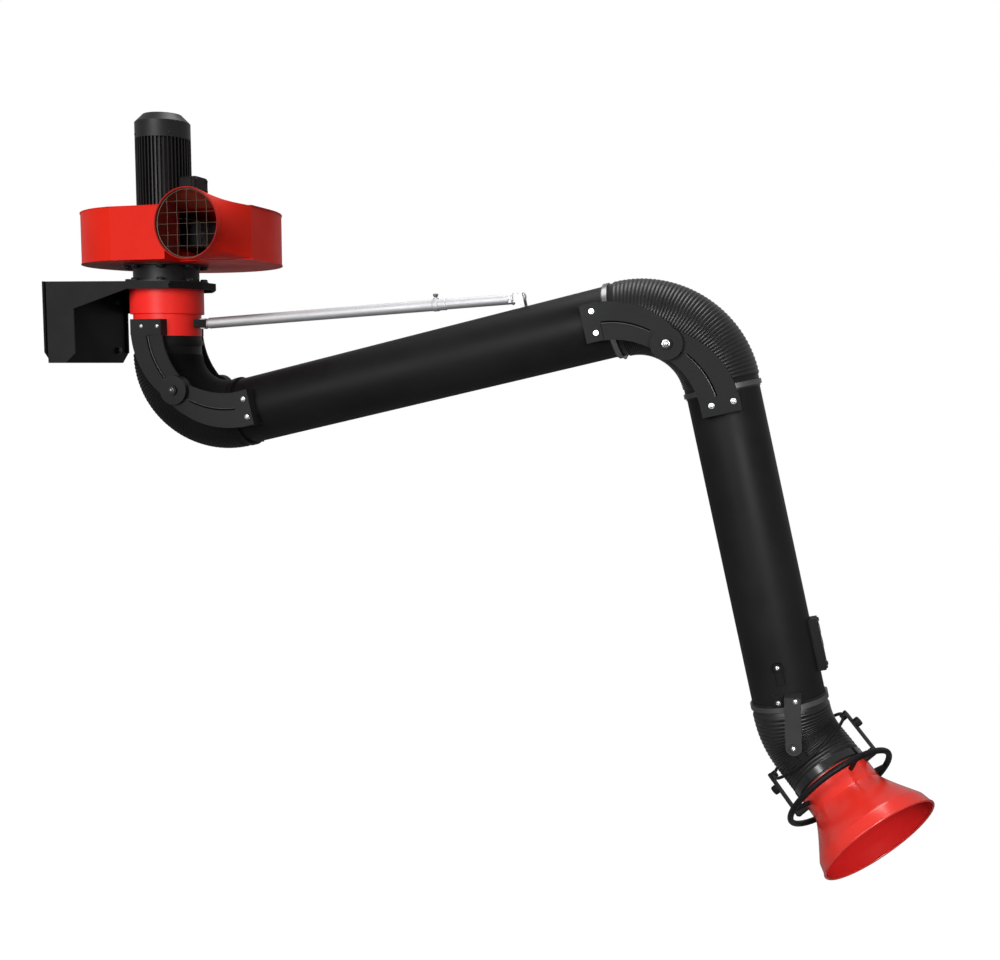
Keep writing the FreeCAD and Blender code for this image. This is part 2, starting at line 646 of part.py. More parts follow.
def strap(label, frame, side, flip, layer, seat_radius, reach):
    """Half of a hinge: a curved strap from the pivot to a block seated on the tube's side.

    The tube lies towards -Z of the frame, or towards +Z where flip is -1. Layer 0 is next to
    the hose and layer 1 outside it, with the hub's cap. The strap's band nearer the pivot is
    thinner, with its step on the outside.
    """
    offset, thick, hub_radius = D.pivot_offset, D.strap_plate, D.hub_radius
    inner = D.strap_side + (thick + D.turn_gap) * layer
    outer = inner + thick
    start = inner if side > 0 else -outer
    thin = thick - D.strap_step
    thin_start = inner if side > 0 else -(inner + thin)
    deep_cut = (start - thick, thick * 3)
    split = offset - D.strap_split
    edge = (reach, hub_radius * -0.6, hub_radius * -0.8, offset + D.strap_half, flip)
    notch = (reach, hub_radius * 0.3, hub_radius * 0.85, offset - D.strap_half, flip)
    thick_band = less(rim_disc(*edge, start, thick), rim_disc(reach, 0, 0, split, flip, *deep_cut))
    thin_band = less(rim_disc(reach, 0, 0, split, flip, thin_start, thin), rim_disc(*notch, *deep_cut))
    bounds = [(offset + D.strap_half + 1) * -flip, hub_radius * (flip / 2)]
    low, high = bounds if flip > 0 else bounds[::-1]
    window = box(hub_radius * -0.6, reach, start, start + thick, low, high)
    bands = shared(joined(thick_band, thin_band), window)

    cap = outer + D.hub_plate * layer
    hub = cylinder(hub_radius, cap - inner, along_y(0, inner if side > 0 else -cap, 0))
    half = D.block_length / 2
    tube_z = offset * -flip
    deep = D.duct_radius * 0.75
    faces = (deep, outer) if side > 0 else (-outer, -deep)
    block = box(reach - half, reach + half, *faces, tube_z - D.strap_half, tube_z + D.strap_half)
    tube = cylinder(seat_radius, D.block_length * 2, along_x(reach - D.block_length, 0, tube_z))
    hole = D.bolt_radius + D.running_gap * layer
    bore = cylinder(hole, cap * 2, along_y(0, -cap if side < 0 else -D.strap_side, 0))
    finish(less(joined(bands, hub, block), tube, bore), label, frame)


def pivot_bolt(label, frame, side):
    """Bolt screwed into the inner strap, on which the outer strap turns."""
    start = D.strap_side
    shank = D.strap_plate * 2 + D.turn_gap * 2 + D.hub_plate
    end = start + shank
    stem = cylinder(D.bolt_radius, shank, along_y(0, start if side > 0 else -end, 0))
    far = end if side > 0 else -(end + D.bolt_head)
    head = cylinder(D.bolt_head_radius, D.bolt_head, along_y(0, far, 0))
    finish(joined(stem, head), label, frame)


def section(centre, tangent, radius):
    """Circle square to a path, with its start kept towards +Y."""
    side = (Y - tangent * Y.dot(tangent)).normalize()
    edge = Part.makeCircle(radius)
    edge.Placement = FreeCAD.Placement(centre, Turn(side, tangent.cross(side), tangent, "ZXY"))
    return Part.Wire([edge])


def hose(label, start, start_way, end, end_way, cuffs, handle, ribs):
    """Ribbed hose on a smooth curve between two straight cuffs."""
    start_way, end_way = V(start_way).normalize(), V(end_way).normalize()
    first = start + start_way * value(cuffs[0])
    last = end - end_way * value(cuffs[1])
    poles = [first, first + start_way * value(handle), last - end_way * value(handle), last]
    curve = Part.BezierCurve()
    curve.setPoles(poles)

    def ring(share, radius):
        tangent = V(curve.tangent(share)[0]).normalize()
        return section(curve.value(share), tangent, radius)

    root, crest, bore = D.hose_root.value, D.hose_crest.value, D.hose_bore.value
    count = int(value(ribs))
    skin = [section(start, start_way, root), section(first, start_way, root)]
    hollow = [section(start - start_way, start_way, bore), section(first, start_way, bore)]
    for k in range(count):
        for share, radius in ((0.1, root), (0.35, crest), (0.65, crest), (0.9, root)):
            skin.append(ring((k + share) / count, radius))
        hollow.append(ring((k + 0.5) / count, bore))
    skin += [section(last, end_way, root), section(end, end_way, root)]
    hollow += [section(last, end_way, bore), section(end + end_way, end_way, bore)]
    outside = Part.makeLoft(skin, True, True)
    inside = Part.makeLoft(hollow, True, True)
    shape = outside.cut(inside)
    print(label, "length", round(curve.length() + sum(value(c) for c in cuffs), 1), "ribs", count)
    pinned(label, shape, at())


def clamp(label, frame, place, width):
    """Band round a hose's cuff, on the X axis of the frame."""
    inner = D.hose_root + D.turn_gap
    outer = inner + D.clamp_plate
    band = turned(label, [(place, inner), (place + width, inner), (place + width, outer),
                          (place, outer)], "H_Axis")
    finish(band, label, frame)


def tube(name, start, end):
    inner = D.duct_radius - D.duct_wall
    return turned(name, [(start, inner), (end, inner), (end, D.duct_radius),
                         (start, D.duct_radius)], "H_Axis")


upper_line = upper.multiply(at(z=-D.pivot_offset))
lower_line = lower.multiply(at(z=D.pivot_offset))
hose_end = D.tube_setback + D.hose_cuff
clamp_in = 4


def shoulder_joint(neck_under):
    neck_end = FreeCAD.Placement(V(D.swivel_reach.value, 0, neck_under.value), Turn(Y, 90))
    for label, side in (("near", -1), ("far", 1)):
        strap(f"shoulder_plate_{label}", shoulder_back, side, -1, 0, D.neck_radius, D.strap_reach)
        strap(f"shoulder_arm_{label}", upper, side, 1, 1, D.duct_radius, D.arm_reach)
        pivot_bolt(f"shoulder_bolt_{label}", upper, side)
    hose("shoulder_hose", neck_end.multVec(V(D.turn_gap.value, 0, 0)), -Z,
         upper_line.multVec(V(hose_end.value, 0, 0)), upper.Rotation.multVec(X),
         (D.hose_cuff_long, D.hose_cuff), D.hose_handle, D.hose_ribs)
    clamp("shoulder_clamp_in", neck_end, D.clamp_width, D.clamp_width)
    clamp("shoulder_clamp_out", upper_line, hose_end - D.clamp_width - clamp_in, D.clamp_width)


def elbow_joint():
    end = D.upper_length - D.tube_setback
    finish(tube("upper_tube", D.tube_setback, end), "upper_tube", upper_line)
    for label, side in (("near", -1), ("far", 1)):
        strap(f"elbow_plate_{label}", elbow_back, side, 1, 0, D.duct_radius, D.strap_reach)
        strap(f"elbow_arm_{label}", lower, side, -1, 1, D.duct_radius, D.strap_reach)
        pivot_bolt(f"elbow_bolt_{label}", lower, side)
    start = D.upper_length - hose_end
    hose("elbow_hose", upper_line.multVec(V(start.value, 0, 0)), upper.Rotation.multVec(X),
         lower_line.multVec(V(hose_end.value, 0, 0)), lower.Rotation.multVec(X),
         (D.hose_cuff, D.hose_cuff), D.hose_handle, D.hose_ribs)
    clamp("elbow_clamp_in", upper_line, start + clamp_in, D.clamp_width)
    clamp("elbow_clamp_out", lower_line, hose_end - D.clamp_width - clamp_in, D.clamp_width)


def lug(label, frame, depth, seat_radius):
    """Forked lug with its pin: the pin is at the frame's origin and the seat towards -Z."""
    inner = D.strut_eye_width / 2 + D.lug_gap
    outer = inner + D.lug_cheek
    half = D.lug_half
    foot = depth + D.lug_half
    cheeks = [box(-half, half, *faces, -foot, half)
              for faces in ((inner, outer), (-outer, -inner))]
    base = box(-half, half, -outer, outer, -foot, -(D.strut_eye + D.strut_bias + D.lug_gap * 4))
    pin = cylinder(D.strut_pin, outer * 2, along_y(0, -outer, 0))
    seat = cylinder(seat_radius, half * 4, along_x(-half * 2, 0, -(depth + seat_radius)))
    finish(less(joined(base, pin, *cheeks), seat), label, frame)


def strut():
    """Telescopic strut from the collar to the upper tube, held by a lock screw."""
    foot = V((D.swivel_reach + D.strut_foot_reach).value, 0,
             (D.strut_foot_rise - D.shoulder_drop).value)
    rise = D.duct_radius + D.strut_head_rise - D.pivot_offset
    head = upper.multVec(V(D.strut_head_reach.value, 0, rise.value))
    lug("strut_lug_lower", FreeCAD.Placement(foot, Turn(Y, 90)),
        D.strut_foot_reach - D.neck_radius, D.neck_radius)
    lug("strut_lug_upper", FreeCAD.Placement(head, upper.Rotation), D.strut_head_rise, D.duct_radius)

    way = head - foot
    length = way.Length
    frame = FreeCAD.Placement(foot, Turn(Y, -math.degrees(math.atan2(way.z, way.x))))
    width = D.strut_eye_width
    end = D.strut_tube_length
    eye = cylinder(D.strut_eye, width, along_y(0, -width / 2, 0))
    stem = cylinder(D.strut_neck, D.strut_bore_start, along_x(0, 0, 0))
    barrel = cylinder(D.strut_tube_radius, end - D.strut_tube_start, along_x(D.strut_tube_start, 0, 0))
    lock_x = end - D.lock_back
    boss_top = D.strut_tube_radius + D.lock_boss_height
    boss = cylinder(D.lock_boss, boss_top, at(lock_x, 0, 0))
    bore = cylinder(D.strut_rod_radius + D.running_gap, end, along_x(D.strut_bore_start, 0, 0))
    pin_hole = cylinder(D.strut_pin + D.running_gap, width * 2, along_y(0, -width, 0))
    lock_hole = cylinder(D.lock_radius + D.running_gap, boss_top * 2, at(lock_x, 0, 0))
    finish(less(joined(eye, stem, barrel, boss), bore, pin_hole, lock_hole), "strut_tube", frame)

    shank_low = D.strut_rod_radius + 1
    shank_high = boss_top + D.lock_foot
    shank = cylinder(D.lock_radius, shank_high - shank_low, at(lock_x, 0, shank_low))
    knob = cylinder(D.lock_knob, D.lock_knob_height, at(lock_x, 0, shank_high))
    finish(joined(shank, knob), "lock_screw", frame)

    rod_start = end - D.strut_insert
    rod = cylinder(D.strut_rod_radius, length - rod_start, along_x(rod_start, 0, 0))
    ring = cylinder(D.strut_eye, width, along_y(length, -width / 2, D.strut_bias))
    hole = cylinder(D.strut_pin + D.strut_play, width * 3, along_y(length, -width * 1.5, D.strut_bias))
    sides = [box(length - D.strut_eye * 2, length + D.strut_eye * 2, *faces, -width, width)
             for faces in ((width / 2, width), (-width, -width / 2))]
    finish(less(joined(rod, ring), hole, *sides), "strut_rod", frame)
    print("strut length", round(length, 2))


def lower_arm():
    offset = D.pivot_offset
    radius = D.duct_radius
    end = D.lower_length - D.wrist_setback
    shaft_hole = cylinder(D.damper_shaft + D.running_gap, radius * 4,
                          along_y(D.damper_place, radius * -2, 0))
    finish(less(tube("lower_pipe", D.tube_setback, end), shaft_hole), "lower_tube", lower_line)

    case = box(D.control_start, D.control_start + D.control_length, -D.control_width / 2,
               D.control_width / 2, radius * 0.8, radius + D.control_depth)
    seat = cylinder(radius, D.control_length * 2, along_x(D.control_start - D.control_length / 2, 0, 0))
    finish(less(case, seat), "control_box", lower_line)

    blade_radius = radius - D.duct_wall - D.damper_gap
    disc = cylinder(blade_radius, D.damper_sheet, at(D.damper_place, 0, -D.damper_sheet / 2))
    lever_in = radius + D.lever_gap
    lever_out = lever_in + D.lever_plate
    shaft = cylinder(D.damper_shaft, lever_out + radius + D.lever_gap,
                     along_y(D.damper_place, -lever_out, 0))
    finish(joined(disc, shaft), "damper_blade", lower_line)
    half = D.lever_width / 2
    strip = box(D.damper_place - half, D.damper_place + D.lever_length, -lever_out, -lever_in,
                -half, half)
    knob = cylinder(D.lever_knob, D.lever_knob_height,
                    along_y(D.damper_place, -(lever_out + D.lever_knob_height), 0))
    hole = cylinder(D.damper_shaft, D.lever_plate, along_y(D.damper_place, -lever_out, 0))
    finish(less(joined(strip, knob), hole), "damper_lever", lower_line)


def wrist_joint():
    """Straps from the lower tube carry a gimbal ring, whose other axis carries the hood."""
    length = D.lower_length
    half = D.wrist_strap_width / 2
    inner = D.gimbal_radius + D.gimbal_rod + D.turn_gap
    outer = inner + D.wrist_strap_plate
    back = length - D.wrist_block_back
    lean = at(length, axis=Y, angle=D.wrist_lean)
    deep = D.duct_radius * 0.8
    for label, side in (("near", -1), ("far", 1)):
        faces = (inner, outer) if side > 0 else (-outer, -inner)
        strip = box(back, length, *faces, -half, half)
        strip.Placement = lean.multiply(at(back - length, faces[0], -half))
        end = cylinder(half, D.wrist_strap_plate, along_y(length, faces[0], 0))
        block_faces = (deep, inner) if side > 0 else (-inner, -deep)
        block = box(back, back + D.wrist_block, *block_faces, -half, half)
        block.Placement = lean.multiply(at(back - length, block_faces[0], -half))
        pin_in = D.gimbal_radius - D.gimbal_rod
        pin = cylinder(D.wrist_pin, outer - pin_in, along_y(length, pin_in if side > 0 else -outer, 0))
        head_start = outer if side > 0 else -(outer + D.wrist_pin)
        head = cylinder(D.wrist_pin_head, D.wrist_pin, along_y(length, head_start, 0))
        seat = cylinder(D.duct_radius, D.wrist_block * 3, along_x(back - D.wrist_block, 0, 0))
        finish(less(joined(strip, end, block, pin, head), seat), f"wrist_strap_{label}", lower_line)

    drop = D.gimbal_drop
    ring = doc.addObject("Part::Torus", "ring")
    bind(ring, "Radius1", D.gimbal_radius)
    bind(ring, "Radius2", D.gimbal_rod)
    ring.Placement = along_x(drop, 0, 0)
    lug_in, lug_out = D.gimbal_radius - D.gimbal_rod, D.gimbal_radius + D.gimbal_rod
    ears = [box(-D.gimbal_lug_end, drop, *faces, -D.gimbal_lug_half, D.gimbal_lug_half)
            for faces in ((lug_in, lug_out), (-lug_out, -lug_in))]
    boss_half = D.gimbal_boss * 0.7
    bosses = [cylinder(D.gimbal_boss, boss_half * 2, at(drop, 0, D.gimbal_radius * sign - boss_half))
              for sign in (-1, 1)]
    hole = D.wrist_pin + D.running_gap
    reach = D.gimbal_radius * 2
    holes = [cylinder(hole, reach * 2, along_y(0, -reach, 0)),
             cylinder(hole, reach * 2, at(drop, 0, -reach))]
    finish(less(joined(ring, *ears, *bosses), *holes), "gimbal_ring", gimbal)

    start = D.lower_length - D.wrist_setback - D.hose_cuff
    hose("wrist_hose", lower_line.multVec(V(start.value, 0, 0)), lower.Rotation.multVec(X),
         hood.multVec(V((D.hood_neck - D.turn_gap).value, 0, 0)), hood.Rotation.multVec(X),
         (D.hose_cuff, D.hood_seat), D.wrist_handle, D.wrist_ribs)
    clamp("wrist_clamp_in", lower_line, start + clamp_in, D.clamp_width)
    clamp("wrist_clamp_out", hood, D.hood_neck - D.hood_band - clamp_in, D.hood_band)
    return boss_half


def suction_hood(boss_half):
    inside = D.duct_radius - D.duct_wall
    skin = D.hood_sheet
    shell = turned("hood_shell", [
        (D.hood_neck - D.hood_seat, inside), (D.hood_neck - D.hood_seat, D.duct_radius),
        (D.hood_neck, D.duct_radius), (D.hood_neck, D.neck_radius), (D.hood_cone, D.neck_radius),
        (D.hood_bend, D.hood_bend_radius), (D.hood_mouth, D.hood_mouth_radius),
        (D.hood_mouth, D.hood_mouth_radius - skin), (D.hood_bend, D.hood_bend_radius - skin),
        (D.hood_cone, inside)], "H_Axis")
    finish(shell, "hood_shell", hood)

    half = D.yoke_width / 2
    inner = D.gimbal_radius + boss_half + D.turn_gap
    outer = inner + D.yoke_plate
    end = D.yoke_block_place + D.yoke_block
    for label, angle in (("high", 0), ("low", 180)):
        strip = box(0, end, -half, half, inner, outer)
        round_end = cylinder(half, D.yoke_plate, at(0, 0, inner))
        block = box(D.yoke_block_place, end, -half, half, D.duct_radius * 0.8, inner)
        pin_in = D.gimbal_radius - boss_half
        pin = cylinder(D.wrist_pin, inner - pin_in, at(0, 0, pin_in))
        knob = cylinder(D.yoke_knob, D.yoke_knob_height, at(D.yoke_knob_place, 0, outer))
        seat = cylinder(D.neck_radius, end, along_x(D.yoke_block_place / 2, 0, 0))
        finish(less(joined(strip, round_end, block, pin, knob), seat), f"hood_yoke_{label}",
               hood.multiply(at(axis=X, angle=angle)))

    ring = doc.addObject("Part::Torus", "handle")
    bind(ring, "Radius1", D.handle_radius)
    bind(ring, "Radius2", D.handle_rod)
    ring.Placement = along_x(D.handle_place, 0, 0)
    count = D.handle_spokes.value
    spokes = []
    for k in range(int(count)):
        spoke = cylinder(D.handle_rod * 0.75, D.handle_radius, at())
        spoke.Placement = at(D.handle_place, axis=X, angle=360 * (k + 0.5) / count)
        spokes.append(spoke)
    seat = cylinder(D.neck_radius, D.handle_rod * 4, along_x(D.handle_place - D.handle_rod * 2, 0, 0))
    finish(less(joined(ring, *spokes), seat), "hood_handle", hood)


wall_bracket()
neck_under = swivel()
fan_case()
outlet()
rotating_parts(*motor())
shoulder_joint(neck_under)
elbow_joint()
strut()
lower_arm()
suction_hood(wrist_joint())
doc.recompute()

failed = [obj.Label for obj in doc.Objects if {"Invalid", "Error"} & set(obj.State)]
failed += [obj.Label for obj in nodes if obj.Shape.isNull() or not obj.Shape.isValid()]
failed += [obj.Label for obj in nodes if len(obj.Shape.Solids) != 1]
if failed:
    raise RuntimeError(f"not built: {failed}")

os.makedirs("parts", exist_ok=True)
for obj in nodes:
    obj.Shape.exportStep(f"parts/{obj.Label}.step")
print(len(nodes), "sub-parts")
for name, point in (("shoulder", shoulder), ("elbow", elbow), ("wrist", wrist), ("hood", hood.Base)):
    print(name, [round(c, 2) for c in point])
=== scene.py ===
# %% [markdown]
# # A welding fume extraction arm
# The arm hangs on a wall bracket: a motor and a red fan case on top, a collar that swivels below it, and
# two black tubes with ribbed hoses at their joints that end in a red hood. The solid frame comes from the
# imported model, so this lesson only adds what the frame lacks: finishes, soft hoses, wire, screws and rolled
# edges.

import json
import math

import bmesh
import bpy
import numpy as np
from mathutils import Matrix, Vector


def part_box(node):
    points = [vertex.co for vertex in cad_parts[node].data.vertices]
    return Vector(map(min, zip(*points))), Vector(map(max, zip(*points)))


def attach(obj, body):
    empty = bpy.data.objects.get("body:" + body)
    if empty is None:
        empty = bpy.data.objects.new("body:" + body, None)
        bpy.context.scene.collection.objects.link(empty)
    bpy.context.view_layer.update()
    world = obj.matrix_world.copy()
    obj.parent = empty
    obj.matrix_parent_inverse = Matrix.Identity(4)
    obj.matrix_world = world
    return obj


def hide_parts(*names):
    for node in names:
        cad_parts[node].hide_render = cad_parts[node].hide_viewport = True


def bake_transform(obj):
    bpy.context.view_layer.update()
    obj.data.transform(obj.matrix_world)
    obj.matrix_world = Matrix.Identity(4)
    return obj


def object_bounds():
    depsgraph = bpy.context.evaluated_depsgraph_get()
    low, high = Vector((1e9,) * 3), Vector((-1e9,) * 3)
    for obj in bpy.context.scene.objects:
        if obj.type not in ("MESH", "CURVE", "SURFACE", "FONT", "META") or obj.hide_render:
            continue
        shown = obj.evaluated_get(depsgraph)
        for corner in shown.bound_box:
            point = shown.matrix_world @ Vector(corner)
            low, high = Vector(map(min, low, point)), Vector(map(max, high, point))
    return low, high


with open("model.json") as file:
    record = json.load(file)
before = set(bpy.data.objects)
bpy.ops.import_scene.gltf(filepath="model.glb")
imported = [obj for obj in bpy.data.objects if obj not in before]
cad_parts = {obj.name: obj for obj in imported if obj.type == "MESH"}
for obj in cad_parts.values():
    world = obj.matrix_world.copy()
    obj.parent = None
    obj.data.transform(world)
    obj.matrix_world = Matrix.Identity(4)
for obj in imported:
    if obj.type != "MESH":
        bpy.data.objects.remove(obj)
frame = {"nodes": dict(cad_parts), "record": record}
nodes = frame["nodes"]
cad_box = [list(corner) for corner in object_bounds()]
print("nodes", len(nodes), "box", np.round(cad_box, 3).tolist())

# %% [markdown]
# ## The camera
# The picture was taken from a little in front of the arm, about level with the swivel collar, with a normal
# lens. Placing the camera by its measured point and direction keeps every piece on its own pixel.

# %% Camera
camera_data = bpy.data.cameras.new("camera")
camera_data.sensor_fit = "HORIZONTAL"
camera_data.sensor_width = 36
camera_data.lens = 43.45
camera = bpy.data.objects.new("camera", camera_data)
camera.location = (1.896, -2.681, -0.098)
camera.rotation_euler = Vector((-0.2827, 0.9543, -0.0965)).to_track_quat("-Z", "Y").to_euler()
bpy.context.scene.collection.objects.link(camera)
bpy.context.scene.camera = camera
bpy.context.scene.view_settings.view_transform = "Standard"

# %% [markdown]
# ## Studio light
# A plain white studio: one large soft lamp on the camera's left, a narrow one for the lower arm and one
# overhead. The world is a dim grey light, but it is white where the camera looks at it, so the background
# stays white while the paint keeps its own colour. A reflection sees the backdrop at half strength, because
# black cloths stand beside a studio's lamps.

# %% World


def add_node(tree, kind, **settings):
    """New node with its properties set, and unlinked sockets given by name or number in a 'sockets' dict."""
    sockets = settings.pop("sockets", {})
    node = tree.nodes.new(kind)
    for key, setting in settings.items():
        setattr(node, key, setting)
    for key, number in sockets.items():
        node.inputs[key].default_value = number
    return node


world = bpy.data.worlds.new("studio")
bpy.context.scene.world = world
world.use_nodes = True
tree = world.node_tree
tree.nodes.clear()
rays = add_node(tree, "ShaderNodeLightPath")
shiny = add_node(tree, "ShaderNodeMath", operation="MAXIMUM")
seen = add_node(tree, "ShaderNodeMath", operation="MAXIMUM")
soft = add_node(tree, "ShaderNodeBackground", sockets={"Color": (0.98, 0.99, 1.0, 1), "Strength": 0.14})
white = add_node(tree, "ShaderNodeBackground", sockets={"Color": (1, 1, 1, 1)})
dimmed = add_node(tree, "ShaderNodeMath", operation="MULTIPLY_ADD", sockets={1: -0.5, 2: 1.0})
choice = add_node(tree, "ShaderNodeMixShader")
result = add_node(tree, "ShaderNodeOutputWorld")
link = tree.links.new
link(rays.outputs["Is Glossy Ray"], shiny.inputs[0])
link(rays.outputs["Is Transmission Ray"], shiny.inputs[1])
link(rays.outputs["Is Camera Ray"], seen.inputs[0])
link(shiny.outputs[0], seen.inputs[1])
link(rays.outputs["Is Glossy Ray"], dimmed.inputs[0])
link(dimmed.outputs[0], white.inputs["Strength"])
link(seen.outputs[0], choice.inputs[0])
link(soft.outputs[0], choice.inputs[1])
link(white.outputs[0], choice.inputs[2])
link(choice.outputs[0], result.inputs[0])

# %% Lamps


def lamp(name, place, target, size, power, spread=180):
    """Square area lamp that faces a point, with its beam narrowed to a spread in degrees."""
    data = bpy.data.lights.new(name, "AREA")
    data.shape = "SQUARE"
    data.size = size
    data.energy = power
    data.spread = math.radians(spread)
    obj = bpy.data.objects.new(name, data)
    obj.location = place
    obj.rotation_euler = (Vector(target) - Vector(place)).to_track_quat("-Z", "Y").to_euler()
    bpy.context.scene.collection.objects.link(obj)


lamp("key", (0.1, -3.2, 0.5), (0.5, 0, -0.1), 1.5, 92)
lamp("strip", (2.6, -2.7, 0.3), (1.65, 0, -0.6), 0.9, 9, spread=50)
lamp("top", (1.0, 0.4, 2.6), (1.0, 0, 0), 1.6, 60)
print("lamps", len(bpy.data.lights))

# %% [markdown]
# ## Finishes
# Powder coat is never a flat colour: it has a fine orange peel, slightly uneven gloss and a faint
# cloudiness. The peel is one node group. The gloss and the cloudiness follow one mask, which is a second
# group. Every finish places both, so a material only sets how strong they are.

# %% Shared effects


def effect_group(name, inputs, outputs):
    """Empty shader group with float inputs and typed outputs; returns the group and its two end nodes."""
    group = bpy.data.node_groups.new(name, "ShaderNodeTree")
    for label, default in inputs:
        socket = group.interface.new_socket(label, in_out="INPUT", socket_type="NodeSocketFloat")
        socket.default_value = default
    for label, kind in outputs:
        group.interface.new_socket(label, in_out="OUTPUT", socket_type=kind)
    return group, group.nodes.new("NodeGroupInput"), group.nodes.new("NodeGroupOutput")


def orange_peel_group():
    """Bump from fine noise: the dimpled skin of powder coat, its size set by Scale."""
    group, start, end = effect_group(
        "orange_peel", [("Scale", 400), ("Strength", 0.1)], [("Normal", "NodeSocketVector")])
    place = add_node(group, "ShaderNodeTexCoord")
    grain = add_node(group, "ShaderNodeTexNoise", sockets={"Detail": 2})
    bump = add_node(group, "ShaderNodeBump", sockets={"Distance": 0.0006})
    link = group.links.new
    link(place.outputs["Object"], grain.inputs["Vector"])
    link(start.outputs["Scale"], grain.inputs["Scale"])
    link(grain.outputs["Fac"], bump.inputs["Height"])
    link(start.outputs["Strength"], bump.inputs["Strength"])
    link(bump.outputs["Normal"], end.inputs["Normal"])
    return group


def clouding_group():
    """Mask of broad, soft patches with a few finer specks: dust, rubbing and uneven gloss."""
    group, start, end = effect_group(
        "clouding", [("Scale", 6), ("Specks", 0.3)], [("Mask", "NodeSocketFloat")])
    place = add_node(group, "ShaderNodeTexCoord")
    broad = add_node(group, "ShaderNodeTexNoise", sockets={"Detail": 5, "Roughness": 0.6})
    fine = add_node(group, "ShaderNodeTexNoise", sockets={"Scale": 160, "Detail": 3})
    spread = add_node(group, "ShaderNodeMapRange", sockets={"From Min": 0.35, "From Max": 0.7})
    speck = add_node(group, "ShaderNodeMapRange", sockets={"From Min": 0.58, "From Max": 0.72})
    scaled = add_node(group, "ShaderNodeMath", operation="MULTIPLY")
    total = add_node(group, "ShaderNodeMath", operation="ADD", use_clamp=True)
    link = group.links.new
    link(place.outputs["Object"], broad.inputs["Vector"])
    link(place.outputs["Object"], fine.inputs["Vector"])
    link(start.outputs["Scale"], broad.inputs["Scale"])
    link(broad.outputs["Fac"], spread.inputs["Value"])
    link(fine.outputs["Fac"], speck.inputs["Value"])
    link(speck.outputs["Result"], scaled.inputs[0])
    link(start.outputs["Specks"], scaled.inputs[1])
    link(spread.outputs["Result"], total.inputs[0])
    link(scaled.outputs[0], total.inputs[1])
    link(total.outputs[0], end.inputs["Mask"])
    return group


orange_peel = orange_peel_group()
clouding = clouding_group()

# %% One finish


def finish(name, colour, worn, gloss, dull, peel=(400, 0.1), cloud=(6, 0.3), metallic=0.0, specular=0.5):
    """Material whose colour and roughness drift from (colour, gloss) to (worn, dull) over the cloud mask."""
    material = bpy.data.materials.new(name)
    material.use_nodes = True
    material.diffuse_color = (*colour, 1)
    tree = material.node_tree
    shader = tree.nodes["Principled BSDF"]
    shader.inputs["Metallic"].default_value = metallic
    shader.inputs["Specular IOR Level"].default_value = specular
    mask = add_node(tree, "ShaderNodeGroup", node_tree=clouding)
    mask.inputs["Scale"].default_value, mask.inputs["Specks"].default_value = cloud
    paint = add_node(tree, "ShaderNodeMix", data_type="RGBA")
    paint.inputs["A"].default_value = (*colour, 1)
    paint.inputs["B"].default_value = (*worn, 1)
    rough = add_node(tree, "ShaderNodeMapRange", sockets={"To Min": gloss, "To Max": dull})
    dimples = add_node(tree, "ShaderNodeGroup", node_tree=orange_peel)
    dimples.inputs["Scale"].default_value, dimples.inputs["Strength"].default_value = peel
    link = tree.links.new
    link(mask.outputs["Mask"], paint.inputs["Factor"])
    link(mask.outputs["Mask"], rough.inputs["Value"])
    link(paint.outputs["Result"], shader.inputs["Base Color"])
    link(rough.outputs["Result"], shader.inputs["Roughness"])
    link(dimples.outputs["Normal"], shader.inputs["Normal"])
    return material


# %% [markdown]
# The outlet duct is one thin pipe, and its inside is painted darker than its outside: painted shade for the
# dim outlet. A face belongs to the inside if its normal points towards the pipe's axis, so a third group
# compares the two directions.

# %% The outlet's painted inner shade
outlet_x, outlet_z = 0.430, 0.2165


def inner_side_group():
    """Mask that is 1 where (place − axis)·normal is below zero by a margin: the inside of a pipe along Y."""
    group, start, end = effect_group("inner_side", [("X", 0), ("Z", 0)], [("Mask", "NodeSocketFloat")])
    place = add_node(group, "ShaderNodeTexCoord")
    middle = add_node(group, "ShaderNodeCombineXYZ")
    away = add_node(group, "ShaderNodeVectorMath", operation="SUBTRACT")
    level = add_node(group, "ShaderNodeVectorMath", operation="MULTIPLY", sockets={1: (1, 0, 1)})
    facing = add_node(group, "ShaderNodeVectorMath", operation="DOT_PRODUCT")
    inside = add_node(group, "ShaderNodeMath", operation="LESS_THAN", sockets={1: -0.02})
    link = group.links.new
    link(start.outputs["X"], middle.inputs["X"])
    link(start.outputs["Z"], middle.inputs["Z"])
    link(place.outputs["Object"], away.inputs[0])
    link(middle.outputs["Vector"], away.inputs[1])
    link(away.outputs["Vector"], level.inputs[0])
    link(level.outputs["Vector"], facing.inputs[0])
    link(place.outputs["Normal"], facing.inputs[1])
    link(facing.outputs["Value"], inside.inputs[0])
    link(inside.outputs[0], end.inputs["Mask"])
    return group


def paint_inner_shade(material, x, z, colour):
    """Paint shade: a second, darker colour over a material's paint where it faces the axis at x and z."""
    tree = material.node_tree
    shader = tree.nodes["Principled BSDF"]
    paint = shader.inputs["Base Color"].links[0].from_socket
    mask = add_node(tree, "ShaderNodeGroup", node_tree=inner_side_group())
    mask.inputs["X"].default_value, mask.inputs["Z"].default_value = x, z
    both = add_node(tree, "ShaderNodeMix", data_type="RGBA")
    both.inputs["B"].default_value = (*colour, 1)
    tree.links.new(mask.outputs["Mask"], both.inputs["Factor"])
    tree.links.new(paint, both.inputs["A"])
    tree.links.new(both.outputs["Result"], shader.inputs["Base Color"])


